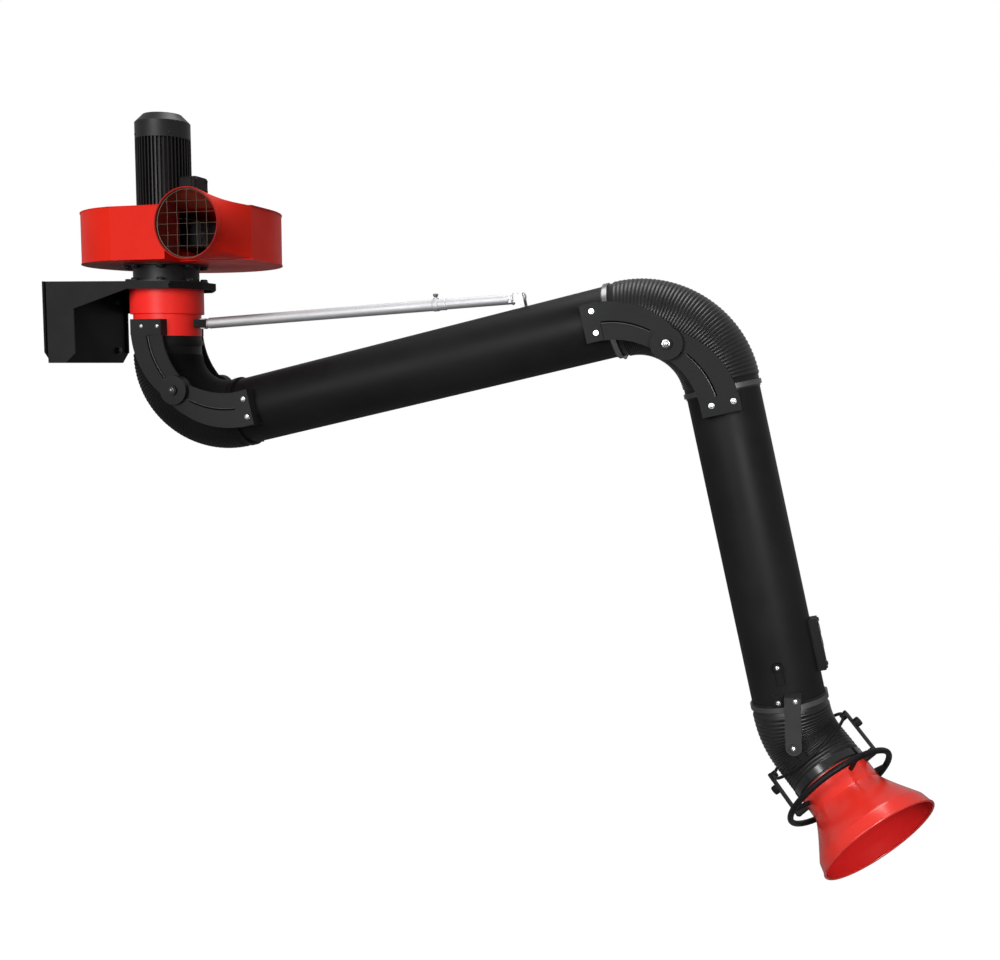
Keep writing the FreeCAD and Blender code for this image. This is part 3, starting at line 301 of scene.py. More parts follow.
# %% Red paints
case_paint = ((0.74, 0.020, 0.008), (0.66, 0.016, 0.008), 0.40, 0.50)
red_coat = finish("red_coat", *case_paint, specular=0.10)
duct_red_painted_shade = finish("duct_red_painted_shade", *case_paint, specular=0.10)
# The duct's inside is painted a dark red-brown: painted shade deep in the outlet.
paint_inner_shade(duct_red_painted_shade, outlet_x, outlet_z, (0.32, 0.048, 0.030))
rim_red = finish("rim_red", (0.36, 0.012, 0.008), (0.32, 0.010, 0.007), 0.40, 0.50, specular=0.10)
# The collar's red is brighter than the case's: painted light that makes up for the shade of the shelf above
# it.
collar_red_painted_light = finish("collar_red_painted_light", (0.96, 0.030, 0.024), (0.90, 0.026, 0.020), 0.30, 0.40, specular=0.14)
hood_red = finish("hood_red", (0.60, 0.024, 0.015), (0.55, 0.021, 0.013), 0.20, 0.26,
                  cloud=(5, 0.04), specular=0.48)
hood_inside = finish("hood_inside", (0.62, 0.016, 0.015), (0.56, 0.014, 0.013), 0.48, 0.58, specular=0.05)

# %% Black and grey finishes
black_coat = finish("black_coat", (0.0055, 0.0055, 0.0058), (0.0080, 0.0080, 0.0084), 0.42, 0.55,
                    peel=(700, 0.12), specular=0.09)
strap_grey = finish("strap_grey", (0.0120, 0.0120, 0.0125), (0.0160, 0.0160, 0.0166), 0.38, 0.52,
                    peel=(500, 0.1), specular=0.14)
strap_black = finish("strap_black", (0.0045, 0.0045, 0.0048), (0.0075, 0.0075, 0.0080), 0.38, 0.52,
                     peel=(500, 0.1), specular=0.10)
plate_grey = finish("plate_grey", (0.018, 0.018, 0.019), (0.026, 0.026, 0.027), 0.36, 0.48,
                    peel=(500, 0.1), specular=0.25)
cast_black = finish("cast_black", (0.0085, 0.0085, 0.0088), (0.0120, 0.0120, 0.0125), 0.38, 0.54,
                    peel=(260, 0.2), specular=0.26)
moulded_black = finish("moulded_black", (0.0045, 0.0045, 0.0045), (0.0075, 0.0075, 0.0075), 0.48, 0.62,
                       peel=(900, 0.16), specular=0.12)
hose_dark = finish("hose_dark", (0.0040, 0.0040, 0.0042), (0.0065, 0.0065, 0.0068), 0.42, 0.54,
                   peel=(1400, 0.2), specular=0.12)
hose_fabric = finish("hose_fabric", (0.0050, 0.0050, 0.0052), (0.0090, 0.0090, 0.0094), 0.30, 0.42,
                     peel=(1400, 0.2), specular=0.28)
black_screw = finish("black_screw", (0.010, 0.010, 0.011), (0.016, 0.016, 0.017), 0.34, 0.46,
                     peel=(900, 0.05), specular=0.25)
band_black = finish("band_black", (0.005, 0.005, 0.0055), (0.008, 0.008, 0.009), 0.10, 0.18,
                    peel=(600, 0.04), specular=0.55)
switch_grey = finish("switch_grey", (0.055, 0.055, 0.058), (0.075, 0.075, 0.078), 0.42, 0.55,
                     peel=(900, 0.1), specular=0.3)
# The edge rods are glossy, and their grey is lighter than the straps' black: a painted highlight along each
# step.
edge_gloss_painted_highlight = finish("edge_gloss_painted_highlight", (0.030, 0.030, 0.032), (0.045, 0.045, 0.048), 0.26, 0.36,
                    peel=(900, 0.03), specular=0.5)
# Near-black and dull, for the rods that are painted shadow beside the straps' steps.
painted_shadow_black = finish("painted_shadow_black", (0.0006, 0.0006, 0.0006), (0.0010, 0.0010, 0.0010), 0.7, 0.8, specular=0.02)

# %% Bare metals


def metal(name, colour, worn, gloss, dull, peel):
    """Bare metal: a finish that is metallic all over."""
    return finish(name, colour, worn, gloss, dull, peel=peel, metallic=1.0)


bright_steel = metal("bright_steel", (0.80, 0.81, 0.82), (0.66, 0.67, 0.68), 0.18, 0.30, (900, 0.03))
strut_metal = metal("strut_metal", (0.54, 0.54, 0.55), (0.48, 0.48, 0.49), 0.62, 0.70, (900, 0.03))
clamp_steel = metal("clamp_steel", (0.16, 0.16, 0.165), (0.11, 0.11, 0.115), 0.34, 0.48, (700, 0.05))
guard_brass = metal("guard_brass", (0.11, 0.088, 0.066), (0.08, 0.066, 0.05), 0.45, 0.60, (900, 0.04))
band_steel = metal("band_steel", (0.22, 0.22, 0.22), (0.17, 0.17, 0.17), 0.26, 0.36, (600, 0.05))
zinc_steel = metal("zinc_steel", (0.60, 0.60, 0.58), (0.46, 0.46, 0.45), 0.32, 0.46, (600, 0.06))
plain_steel = metal("plain_steel", (0.10, 0.10, 0.105), (0.07, 0.07, 0.072), 0.40, 0.58, (500, 0.08))
print("materials, with the frame's own:", len(bpy.data.materials))

# %% [markdown]
# The frame's solids keep their shapes and only change their finish. Each solid is named once, under the
# finish that it wears, and the last line shows any that were forgotten.

# %% Finishes of the frame's solids


def strap_parts(joint):
    """Names of the plates, arms and bolts on both sides of a joint."""
    return [f"{joint}_{part}_{side}" for part in ("plate", "arm", "bolt") for side in ("near", "far")]


painted = {
    red_coat: ["case_base", "case_wrapper", "case_lid", "inlet_cone"],
    duct_red_painted_shade: ["outlet_duct"],
    collar_red_painted_light: ["swivel_collar"],
    hood_red: ["hood_shell"],
    black_coat: ["upper_tube", "lower_tube", "wall_plate", "gusset_near", "gusset_far", "shelf_plate",
                 "swivel_spigot"],
    strap_grey: strap_parts("shoulder"),
    strap_black: [*strap_parts("elbow"), "gimbal_ring", "hood_yoke_high", "hood_yoke_low", "hood_handle",
                  "strut_lug_lower", "damper_lever", "shoulder_clamp_in", "shoulder_clamp_out"],
    cast_black: ["motor_flange", "motor_housing", "motor_cowl", "fan_spacer"],
    moulded_black: ["terminal_box", "cable_gland", "control_box", "cooling_fan"],
    hose_fabric: ["shoulder_hose", "elbow_hose", "wrist_hose"],
    plate_grey: ["wrist_strap_near", "wrist_strap_far"],
    band_black: ["wrist_clamp_out"],
    clamp_steel: ["elbow_clamp_out", "wrist_clamp_in", "strut_lug_upper"],
    bright_steel: ["lock_screw"],
    strut_metal: ["strut_tube", "strut_rod"],
    band_steel: ["elbow_clamp_in"],
    zinc_steel: ["outlet_guard"],
    plain_steel: ["motor_rotor", "motor_stator", "impeller", "damper_blade"],
}
for material, names in painted.items():
    for name in names:
        nodes[name].data.materials.clear()
        nodes[name].data.materials.append(material)
bare = sorted(set(nodes) - {name for names in painted.values() for name in names})
print("nodes without a finish:", bare)

# %% [markdown]
# ## Surfaces from grids
# Every new piece is a skin over a grid of points: each row is a closed loop, and the rows are joined in
# order. A row that shrinks to one point becomes a pole when doubles are merged, which closes the piece.
# Turned parts, swept wires and hoses all fit this one scheme, so one function can make them all.

# %% Skin over grids


def skin(name, grids, material, body, crease=35):
    """One object from grids of rows x columns x 3, sharp where faces meet above the crease angle."""
    points, faces, first = [], [], 0
    for grid in grids:
        rows, columns = grid.shape[:2]
        index = first + np.arange(rows * columns).reshape(rows, columns)
        after = np.roll(index, -1, axis=1)
        faces.append(np.stack([index[:-1], after[:-1], after[1:], index[1:]], axis=-1).reshape(-1, 4))
        points.append(grid.reshape(-1, 3))
        first += rows * columns
    mesh = bpy.data.meshes.new(name)
    mesh.from_pydata(np.concatenate(points).tolist(), [], np.concatenate(faces).tolist())
    shape = bmesh.new()
    shape.from_mesh(mesh)
    bmesh.ops.remove_doubles(shape, verts=shape.verts, dist=1e-6)
    bmesh.ops.recalc_face_normals(shape, faces=shape.faces)
    shape.to_mesh(mesh)
    shape.free()
    mesh.shade_smooth()
    mesh.set_sharp_from_angle(angle=math.radians(crease))
    mesh.materials.append(material)
    obj = bpy.data.objects.new(name, mesh)
    bpy.context.scene.collection.objects.link(obj)
    if body:
        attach(obj, body)
    print(name, len(mesh.polygons), "faces")
    return obj


# %% Turned, swept and soft-edged grids
# A direction that no axis of the arm is parallel to, from which a ring's first point is worked out.
off_axis = (0.31, 0.86, 0.41)


def unit(vector):
    """Vector scaled to a length of 1."""
    vector = np.asarray(vector, float)
    return vector / np.linalg.norm(vector)


def stacked(rows, origin, way, columns=36, flutes=8):
    """Rings round an axis, each row (place along it, radius, six, depth): origin + way·place +
    radius·k·(u cos φ + v sin φ), where k is 1 for a round row, 1/cos of the angle from a flat for a
    hexagon, and 1 + depth·cos(flutes·φ) for a fluted one."""
    rows = np.array([tuple(row) + (0,) * (4 - len(row)) for row in rows], float)
    way = unit(way)
    u = unit(np.cross(way, off_axis))
    v = np.cross(way, u)
    angle = np.linspace(0, 2 * np.pi, columns, endpoint=False)
    flat = 1 / np.cos(np.mod(angle, np.pi / 3) - np.pi / 6)
    k = np.where(rows[:, 2:3] > 0, flat, 1) * (1 + rows[:, 3:4] * np.cos(flutes * angle))
    ring = np.cos(angle)[:, None] * u + np.sin(angle)[:, None] * v
    return np.asarray(origin, float) + rows[:, 0, None, None] * way + (rows[:, 1:2] * k)[..., None] * ring


def capped(grid):
    """Grid with its first and last rows shrunk to their middles added, which closes an open sweep."""
    ends = [np.broadcast_to(grid[k].mean(axis=0), grid[k].shape)[None] for k in (0, -1)]
    return np.concatenate([ends[0], grid, ends[1]])


def rod(path, radius, columns=12, closed=False):
    """Round wire along a path: path + radius·(side cos φ + up sin φ), square to the path's direction."""
    path = np.asarray(path, float)
    if closed:
        way = np.roll(path, -1, axis=0) - np.roll(path, 1, axis=0)
    else:
        way = np.gradient(path, axis=0)
    way /= np.linalg.norm(way, axis=1, keepdims=True)
    hint = np.eye(3)[np.argmin(np.abs(way).max(axis=0))]
    side = np.cross(way, hint)
    side /= np.linalg.norm(side, axis=1, keepdims=True)
    up = np.cross(way, side)
    angle = np.linspace(0, 2 * np.pi, columns, endpoint=False)
    ring = np.cos(angle)[:, None] * side[:, None] + np.sin(angle)[:, None] * up[:, None]
    grid = path[:, None] + radius * ring
    return np.concatenate([grid, grid[:1]]) if closed else capped(grid)


def rounded_block(low, high, axes=(np.zeros(3), np.eye(3)), power=0.3, rows=24, columns=48):
    """Box with soft edges: the superellipsoid centre + half·(c(v)c(u), c(v)s(u), s(v)), where c and s are
    the cosine and sine raised to a small power with their signs kept."""
    low, high = np.asarray(low, float), np.asarray(high, float)
    v = np.linspace(-np.pi / 2, np.pi / 2, rows)[:, None]
    u = np.linspace(-np.pi, np.pi, columns, endpoint=False)[None]
    cos_v, sin_v, cos_u, sin_u = (np.sign(wave) * np.abs(wave) ** power
                                  for wave in (np.cos(v), np.sin(v), np.cos(u), np.sin(u)))
    ball = np.stack([cos_v * cos_u, cos_v * sin_u, sin_v + 0 * u], axis=-1)
    origin, turn = axes
    return origin + ((low + high) / 2 + ball * (high - low) / 2) @ turn


# %% [markdown]
# ## The links' own frames
# The arm is bent at every joint, but each link is straight. A piece is easier to place along its link than
# in the room, so each link has a frame: the place of its joint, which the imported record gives, and its own
# axes, with X along the link.

# %% Frames of the links


def tilted(degrees):
    """Axes, as rows, of a link that is turned about Y."""
    c, s = math.cos(math.radians(degrees)), math.sin(math.radians(degrees))
    return np.array([[c, 0, -s], [0, 1, 0], [s, 0, c]])


def carried(link, *local):
    """Point of a link's own frame, in the room's frame."""
    return link[0] + np.array(local, float) @ link[1]


joints = {joint["name"]: joint for joint in frame["record"]["behaviour"]["joints"]}
pivot = {name: np.array(joint["pos_m"]) for name, joint in joints.items() if "pos_m" in joint}
upper_tilt, lower_tilt, gimbal_tilt, hood_spread = -13, 77, 45, math.radians(29)
swivel_x = 0.235
# The tubes lie this far beside the pivots of the shoulder and the elbow, and have this radius.
offset, duct = 0.082, 0.080
# Places along the tubes where the hoses end: near a link's own joint, and at its far end.
near_end, upper_far_end, lower_far_end = 0.128, 1.052, 0.810
upper = (pivot["shoulder_lift"], tilted(upper_tilt))
lower = (pivot["elbow_fold"], tilted(lower_tilt))
gimbal_along, gimbal_across, gimbal_up = tilted(gimbal_tilt)
hood_way = math.cos(hood_spread) * gimbal_along - math.sin(hood_spread) * gimbal_across
hood = (pivot["hood_turn"], np.array([hood_way, np.cross(gimbal_up, hood_way), gimbal_up]))
upper_way, lower_way = upper[1][0], lower[1][0]
side_y = {"near": -1.0, "far": 1.0}
print("pivots", {name: np.round(place, 3).tolist() for name, place in pivot.items()})

# %% [markdown]
# ## Ribbed hoses
# At each joint a coated fabric hose on a wire spiral bridges the gap between two tubes. Its ribs crowd
# together inside the bend and open outside it. A straight tube bent by a modifier would slide along the
# curve, so the wall is worked out on a smooth curve from one tube's end to the other's, with cuffs under
# the clamps. The wrist has two joints in a row, so its hose is two walls that meet at the gimbal ring.

# %% One hose wall
crest, valley, cuff_radius, bore = 0.0844, 0.0829, 0.0818, 0.0803
rib_rings, ring_points, bore_rings, cuff_step = 10, 88, 30, 0.001


def hose_wall(name, start, start_way, end, end_way, cuffs, handle, ribs, part=(0.0, 1.0), cloth=hose_fabric):
    """Wall along the cubic curve between two cuffs. The outer radius is valley + (crest − valley)·
    |sin(π·ribs·t)|^0.8 at the share t of the curve, and the smooth bore returns along the same line."""
    start, end, start_way, end_way = (np.asarray(item, float) for item in (start, end, start_way, end_way))
    p0, p3 = start + start_way * cuffs[0], end - end_way * cuffs[1]
    p1, p2 = p0 + start_way * handle, p3 - end_way * handle
    t = np.linspace(*part, int(ribs * (part[1] - part[0])) * rib_rings + 1)[:, None]
    line = (1 - t) ** 3 * p0 + 3 * (1 - t) ** 2 * t * p1 + 3 * (1 - t) * t ** 2 * p2 + t ** 3 * p3
    way = (1 - t) ** 2 * (p1 - p0) + 2 * (1 - t) * t * (p2 - p1) + t ** 2 * (p3 - p2)
    radius = valley + (crest - valley) * np.abs(np.sin(np.pi * ribs * t)) ** 0.8
    cuff = np.full((2, 1), cuff_radius)
    if part[0] == 0:
        line = np.concatenate([[start, p0 - start_way * cuff_step], line])
        way = np.concatenate([[start_way, start_way], way])
        radius = np.concatenate([cuff, radius])
    if part[1] == 1:
        line = np.concatenate([line, [p3 + end_way * cuff_step, end]])
        way = np.concatenate([way, [end_way, end_way]])
        radius = np.concatenate([radius, cuff])
    way /= np.linalg.norm(way, axis=1, keepdims=True)
    side = np.array([0.0, 1.0, 0.0]) - way[:, 1:2] * way
    side /= np.linalg.norm(side, axis=1, keepdims=True)
    up = np.cross(way, side)
    angle = np.linspace(0, 2 * np.pi, ring_points, endpoint=False)[:, None]
    ring = np.cos(angle) * side[:, None] + np.sin(angle) * up[:, None]
    outside = line[:, None] + radius[:, :, None] * ring
    pick = np.unique(np.linspace(0, len(line) - 1, bore_rings).astype(int))[::-1]
    inside = line[pick, None] + bore * ring[pick]
    obj = skin(name, [np.concatenate([outside, inside, outside[:1]])], cloth, None, crease=60)
    return obj, p0, p3


# %% Shoulder and elbow hoses
down = np.array([0.0, 0.0, -1.0])
cuff_length, joint_handle, joint_ribs = 0.026, 0.100, 44
piece, first, last = hose_wall("shoulder_hose_wall", (swivel_x, 0, -0.0316), down,
                               carried(upper, near_end, 0, -offset), upper_way, (0.044, cuff_length),
                               joint_handle, joint_ribs, cloth=hose_dark)
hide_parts("shoulder_hose")
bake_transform(piece)
piece, first, last = hose_wall("elbow_hose_wall", carried(upper, upper_far_end, 0, -offset), upper_way,
                               carried(lower, near_end, 0, offset), lower_way, (cuff_length, cuff_length),
                               joint_handle, joint_ribs)
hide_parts("elbow_hose")
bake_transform(piece)

# %% Wrist hose in two walls
wrist_handle, wrist_ribs = 0.070, 22
wrist_ends = (carried(lower, lower_far_end, 0, offset), lower_way, carried(hood, 0.0897, 0, 0), hood_way,
              (cuff_length, 0.024), wrist_handle, wrist_ribs)
near_half, first, last = hose_wall("wrist_hose_upper_wall", *wrist_ends, part=(0.0, 0.5))
far_half = hose_wall("wrist_hose_lower_wall", *wrist_ends, part=(0.5, 1.0))[0]
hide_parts("wrist_hose")
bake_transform(near_half)
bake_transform(far_half)

# %% [markdown]
# ## The hood
# The hood is spun from sheet: a straight neck, a flare that opens faster towards the mouth, a shallow lip
# and an edge rolled outwards so that it is stiff and safe to touch. The inside is duller than the outside,
# so two closed profiles are turned round the hood's axis: the outer half of the sheet with the rolled edge,
# and the inner half as a lining.

# %% Hood profile
sheet, collar_start, neck_start, neck_step = 0.002, 0.066, 0.0900, 0.0002
neck, flare, lip_start, lip = (0.1400, 0.0825), (0.2190, 0.1300), (0.2225, 0.1312), (0.2440, 0.1364)
neck_slope, mouth_slope = 0.44, 0.64
# Cubic from the neck's end to the flare's end, leaving at a small slope and arriving at a steeper one.
t = np.linspace(0, 1, 24)
run = flare[0] - neck[0]
flare_x = neck[0] + run * t
h00, h10, h01, h11 = 2 * t**3 - 3 * t**2 + 1, t**3 - 2 * t**2 + t, 3 * t**2 - 2 * t**3, t**3 - t**2
flare_r = h00 * neck[1] + h10 * run * neck_slope + h01 * flare[1] + h11 * run * mouth_slope
outer = np.concatenate([[(collar_start, duct), (neck_start - neck_step, duct), (neck_start, neck[1])],
                        np.stack([flare_x, flare_r], axis=1), [lip_start, lip]])
roll, roll_radius = np.linspace(-0.25 * np.pi, 1.35 * np.pi, 14), 0.0026
roll_middle = np.array(lip) + (0.0016, -0.0006)
bead = roll_middle + roll_radius * np.stack([np.sin(roll), np.cos(roll)], axis=1)
print("hood from", collar_start, "to", round(bead[:, 0].max(), 4), "radius", round(bead[:, 1].max(), 4))

# %% Hood shell and lining


def sunk(depth):
    """The outer profile run backwards at a depth in the sheet, with a straight bore through the neck."""
    layer = outer[::-1] - (0.0, depth)
    layer[-3:, 1] = duct - depth
    layer[0, 0] += depth / 2
    return layer


def spun(name, profile, paint):
    """Closed profile turned round the hood's axis."""
    grid = stacked(np.concatenate(profile), hood[0], hood_way, columns=128)
    return skin(name, [grid], paint, "hood", crease=50)


half_way, inner = sunk(sheet / 2), sunk(sheet)
shell = spun("hood_cone", [outer, bead, half_way, outer[:1]], hood_red)
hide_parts("hood_shell")
spun("hood_lining", [inner, half_way[::-1], inner[:1]], hood_inside)

# %% [markdown]
# ## Outlet guard and rim
# The fan blows out through a round collar. A guard of thin plated wire keeps fingers out: wires cross over
# and under each other and end on a ring. Each wire is a round rod along a gentle wave, so that it weaves.

# %% Guard wires
mouth = np.array([outlet_x, -0.224, outlet_z])
pitch, wire, ring_radius, ring_wire = 0.025, 0.0006, 0.0765, 0.0015
grids = []
for line_index in range(-3, 4):
    across = line_index * pitch
    half = math.sqrt(ring_radius ** 2 - across ** 2)
    run = np.linspace(-half, half, 48)
    wave = wire * np.cos(np.pi * (run / pitch + line_index))
    level = np.full_like(run, across)
    grids.append(rod(mouth + np.stack([run, wave, level], axis=1), wire, columns=8))
    grids.append(rod(mouth + np.stack([level, -wave, run], axis=1), wire, columns=8))
angle = np.linspace(0, 2 * np.pi, 96, endpoint=False)
circle = np.stack([np.cos(angle), 0 * angle, np.sin(angle)], axis=1)
grids.append(rod(mouth + ring_radius * circle, ring_wire, columns=10, closed=True))
guard = skin("guard_wires", grids, guard_brass, "bracket", crease=60)
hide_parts("outlet_guard")

# %% Rolled rim of the outlet
rim_middle, rim_radius, rim_roll = mouth + np.array([0, -0.006, 0]), 0.0797, 0.0016
rim = rod(rim_middle + rim_radius * circle, rim_roll, columns=10, closed=True)
skin("outlet_rim", [rim], rim_red, "bracket", crease=60)

# %% [markdown]
# ## Screws and bolts
# Small bright fasteners give the arm its scale. A socket screw is a stack of rings: a washer, a domed head,
# then a six-sided recess. A bolt has a six-sided head. All the fasteners that ride on one body are one
# object.

# %% Four kinds of fastener
socket_rows = [(0, 0), (0, 0.0086), (0.0014, 0.0086), (0.0015, 0.0068), (0.0036, 0.0067), (0.0050, 0.0057),
               (0.0058, 0.0040), (0.0058, 0.0030, 1), (0.0034, 0.0030, 1), (0.0034, 0)]
bolt_rows = [(0, 0), (0, 0.0100), (0.0016, 0.0100), (0.0016, 0.0078, 1), (0.0062, 0.0078, 1),
             (0.0072, 0.0066), (0.0072, 0)]
dome_rows = [(0, 0), (0, 0.0084), (0.0012, 0.0084), (0.0014, 0.0072), (0.0034, 0.0069), (0.0052, 0.0056),
             (0.0064, 0.0032), (0.0068, 0)]
small_rows = [(0, 0), (0, 0.0046), (0.0016, 0.0046), (0.0026, 0.0036), (0.0030, 0.0018, 1),
              (0.0016, 0.0018, 1), (0.0016, 0)]


def fasteners(name, rows, places, material, body, columns=36, size=1.0):
    """One object with the same fastener at each (point, outward direction), scaled by a size."""
    rows = [(row[0] * size, row[1] * size, *row[2:]) for row in rows]
    return skin(name, [stacked(rows, point, way, columns) for point, way in places], material, body)


# %% Screws of the straps
plate_face, arm_face, hub_face = 0.1000, 0.1083, 0.1246
swivel_spots = [(0.2235, -0.009), (0.2670, -0.009)]
upper_spots = [(0.1725, arm_face, 0.0215), (0.1725, arm_face, -0.0215),
               (1.034, plate_face, 0.0240), (1.034, plate_face, -0.0240)]
lower_spots = [(0.149, -0.0180), (0.149, 0.0290)]
straps = {
    "swivel": [((x, sign * plate_face, z), (0, sign, 0))
               for sign in side_y.values() for x, z in swivel_spots],
    "upper_arm": [(carried(upper, x, sign * face, z - offset), (0, sign, 0))
                  for sign in side_y.values() for x, face, z in upper_spots],
    "lower_arm": [(carried(lower, x, sign * arm_face, z + offset), (0, sign, 0))
                  for sign in side_y.values() for x, z in lower_spots],
}
for (body, places), size in zip(straps.items(), (0.50, 0.66, 0.70)):
    fasteners(f"strap_screws_{body}", socket_rows, places, bright_steel, body, size=size)
hubs = [("swivel", upper, clamp_steel, 0.75), ("upper_arm", lower, bright_steel, 0.95)]
for body, arm, steel, size in hubs:
    places = [(carried(arm, 0, sign * hub_face, 0), (0, sign, 0)) for sign in side_y.values()]
    fasteners(f"hub_screws_{body}", dome_rows, places, steel, body, size=size)

# %% [markdown]
# Each strap is a thick band and a thinner one side by side. The step between them has a rounded edge that
# catches the light, which a sharp model edge never does, so a thin glossy rod lies along it, and its grey,
# lighter than the strap's black, is a painted highlight. A dull black rod beside it is a painted shadow
# along the step. The step follows the circle that touches the line 77 mm below the pivot, at the strap's
# reach, and passes through the pivot: its radius is (reach² + depth²) / (2·depth).

# %% Strap edges and painted shadows
strap_depth, hub_edge, block_length = 0.077, 0.031, 0.021
short_reach, long_reach = 0.152, 0.167
shadow_aside, shadow_size = 0.0030, 0.0020


def step_edge(link, reach, flip, face, sign, aside=0.0, size=0.0011):
    """Rod along the step, or a little aside of it, from the hub's edge to the start of the block."""
    radius = (reach ** 2 + strap_depth ** 2) / (2 * strap_depth)
    x = np.linspace(hub_edge, reach - block_length, 40)
    z = (radius - strap_depth - np.sqrt(radius ** 2 - (reach - x) ** 2)) * flip
    local = np.stack([x, np.full_like(x, sign * (face - 0.55 * size)), z - flip * aside], axis=1)
    return rod(link[0] + local @ link[1], size, columns=10)


shoulder_back = (pivot["shoulder_lift"], tilted(-90))
elbow_back = (pivot["elbow_fold"], tilted(lower_tilt + 90))
steps = {
    "swivel": [(shoulder_back, short_reach, -1, plate_face)],
    "upper_arm": [(upper, long_reach, 1, arm_face), (elbow_back, short_reach, 1, plate_face)],
    "lower_arm": [(lower, short_reach, -1, arm_face)],
}
for body, edges in steps.items():
    sides = [(*edge, sign) for edge in edges for sign in side_y.values()]
    rods = [step_edge(*side) for side in sides]
    skin(f"strap_edges_{body}", rods, edge_gloss_painted_highlight, body, crease=60)
    # Dull black rods a little aside of each edge: painted shadow along the step.
    rods = [step_edge(*side, shadow_aside, shadow_size) for side in sides]
    skin(f"strap_painted_shadows_{body}", rods, painted_shadow_black, body, crease=60)

# %% [markdown]
# The bracket hangs on four wall bolts. The motor, its cowl and the fan's flange are bolted on circles about
# the swivel's axis, so one function gives the places on a circle.

# %% Wall and motor bolts


def around(radius, degrees):
    """Places on a circle about the swivel's axis, each with its outward direction."""
    ways = [(math.cos(a), math.sin(a)) for a in np.radians(degrees)]
    return [((swivel_x + radius * c, radius * s), (c, s, 0)) for c, s in ways]


quarters, eighths = 90 * np.arange(4), 45 * np.arange(8)
wall_places = [((0.006, y, z), (1, 0, 0)) for y in (-0.125, 0.125) for z in (-0.065, 0.065)]
flange_places = [((*spot, z), (0, 0, way)) for spot, _ in around(0.0915, 22.5 + eighths)
                 for z, way in ((0.102, 1), (0.139, -1))]
motor_places = [((*spot, 0.268), (0, 0, 1)) for spot, _ in around(0.0835, quarters)]
cowl_places = [((*spot, 0.457), out) for spot, out in around(0.067, 45 + quarters)]
fasteners("wall_bolt_heads", bolt_rows, wall_places, black_screw, "bracket")
fasteners("flange_bolts", bolt_rows, flange_places, black_screw, "bracket", columns=24)
fasteners("motor_bolts", bolt_rows, motor_places, black_screw, "bracket", columns=24)
fasteners("cowl_screws", small_rows, cowl_places, black_screw, "bracket",
          columns=24, size=0.6)

# %% [markdown]
# ## Strut fittings
# The telescopic strut is adjusted once and then locked. A ring on the tube carries the fluted lock screw, a
# bush closes the tube's end, a sleeve covers the tube's start beside its eye, and a cap ends the rod beside
# its own.

# %% Strut ring, bush, sleeve and cap
foot = pivot["strut_tilt"]
strut_way = unit(joints["strut_slide"]["axis"])
strut_up = np.cross(strut_way, (0, 1.0, 0))


def collar(*corners):
    """Hollow turned part on the strut, from its section's corners: places along the strut and radii."""
    return stacked([*corners, corners[0]], foot, strut_way, columns=48)


ring = collar((0.603, 0.0133), (0.603, 0.0142), (0.6045, 0.0148), (0.6155, 0.0148), (0.617, 0.0142),
              (0.617, 0.0133))
bush = collar((0.6300, 0.0133), (0.6300, 0.0136), (0.6345, 0.0136), (0.6358, 0.0130), (0.6358, 0.0123),
              (0.6300, 0.0123))
sleeve = collar((0.0142, 0.0085), (0.0142, 0.0118), (0.0165, 0.0136), (0.0190, 0.0136), (0.0190, 0.0085))
cap = collar((0.7945, 0.0121), (0.7945, 0.0134), (0.7951, 0.0139), (0.7975, 0.0139), (0.7981, 0.0134),
             (0.7981, 0.0121))
skin("strut_ring", [ring, bush, sleeve], strut_metal, "strut_barrel")
skin("strut_cap", [cap], strut_metal, "strut_ram")

# %% Lock screw
lock_rows = [(0.0137, 0), (0.0137, 0.0030), (0.0192, 0.0030), (0.0193, 0.0052), (0.0204, 0.0056),
             (0.0206, 0.0040), (0.0212, 0.0040), (0.0214, 0.0054, 0, 0.05), (0.0222, 0.0060, 0, 0.07),
             (0.0250, 0.0060, 0, 0.07), (0.0260, 0.0052, 0, 0.05), (0.0264, 0.0030), (0.0264, 0)]
lock_grid = stacked(lock_rows, pivot["lock_screw_turn"], strut_up, columns=72, flutes=12)
lock = skin("lock_knob", [lock_grid], clamp_steel, "lock")
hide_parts("lock_screw")

# %% [markdown]
# ## Clamp housings
# A worm-drive clamp is a steel band with a small housing and a screw that pulls the band tight. The band is
# a solid of the frame; the housing is a soft-edged block on it, with its screw lying along the band.

# %% Worm housings
worm_rows = [(0, 0), (0, 0.0040, 1), (0.0045, 0.0040, 1), (0.0046, 0.0048), (0.0060, 0.0048),
             (0.0061, 0.0030), (0.0240, 0.0030), (0.0240, 0)]
worm_half, worm_bottom, worm_top = (0.006, 0.009), 0.0830, 0.0915
screw_height, screw_start = 0.0878, -0.0155
clamp_inset = 0.0095


def worm(name, link, place, height, turn_degrees, body):
    """Housing 12 x 18 x 8.5 mm on a clamp at a place along a tube, turned round it from local +Z."""
    a = math.radians(turn_degrees)
    out = math.cos(a) * link[1][2] + math.sin(a) * link[1][1]
    round_way = np.cross(link[1][0], out)
    axes = np.array([link[1][0], round_way, out])
    base = carried(link, place, 0, height)
    low, high = (-worm_half[0], -worm_half[1], worm_bottom), (*worm_half, worm_top)
    block = rounded_block(low, high, (base, axes), power=0.35)
    screw = stacked(worm_rows, base + out * screw_height + round_way * screw_start, round_way, columns=24)
    skin(name, [block, screw], clamp_steel, body)


worm("clamp_housing_shoulder", upper, near_end - clamp_inset, -offset, 140, "upper_arm")
worm("clamp_housing_elbow_in", upper, upper_far_end + clamp_inset, -offset, 150, "upper_arm")
worm("clamp_housing_elbow_out", lower, near_end - clamp_inset, offset, 30, "lower_arm")
worm("clamp_housing_wrist", lower, lower_far_end + clamp_inset, offset, 30, "lower_arm")

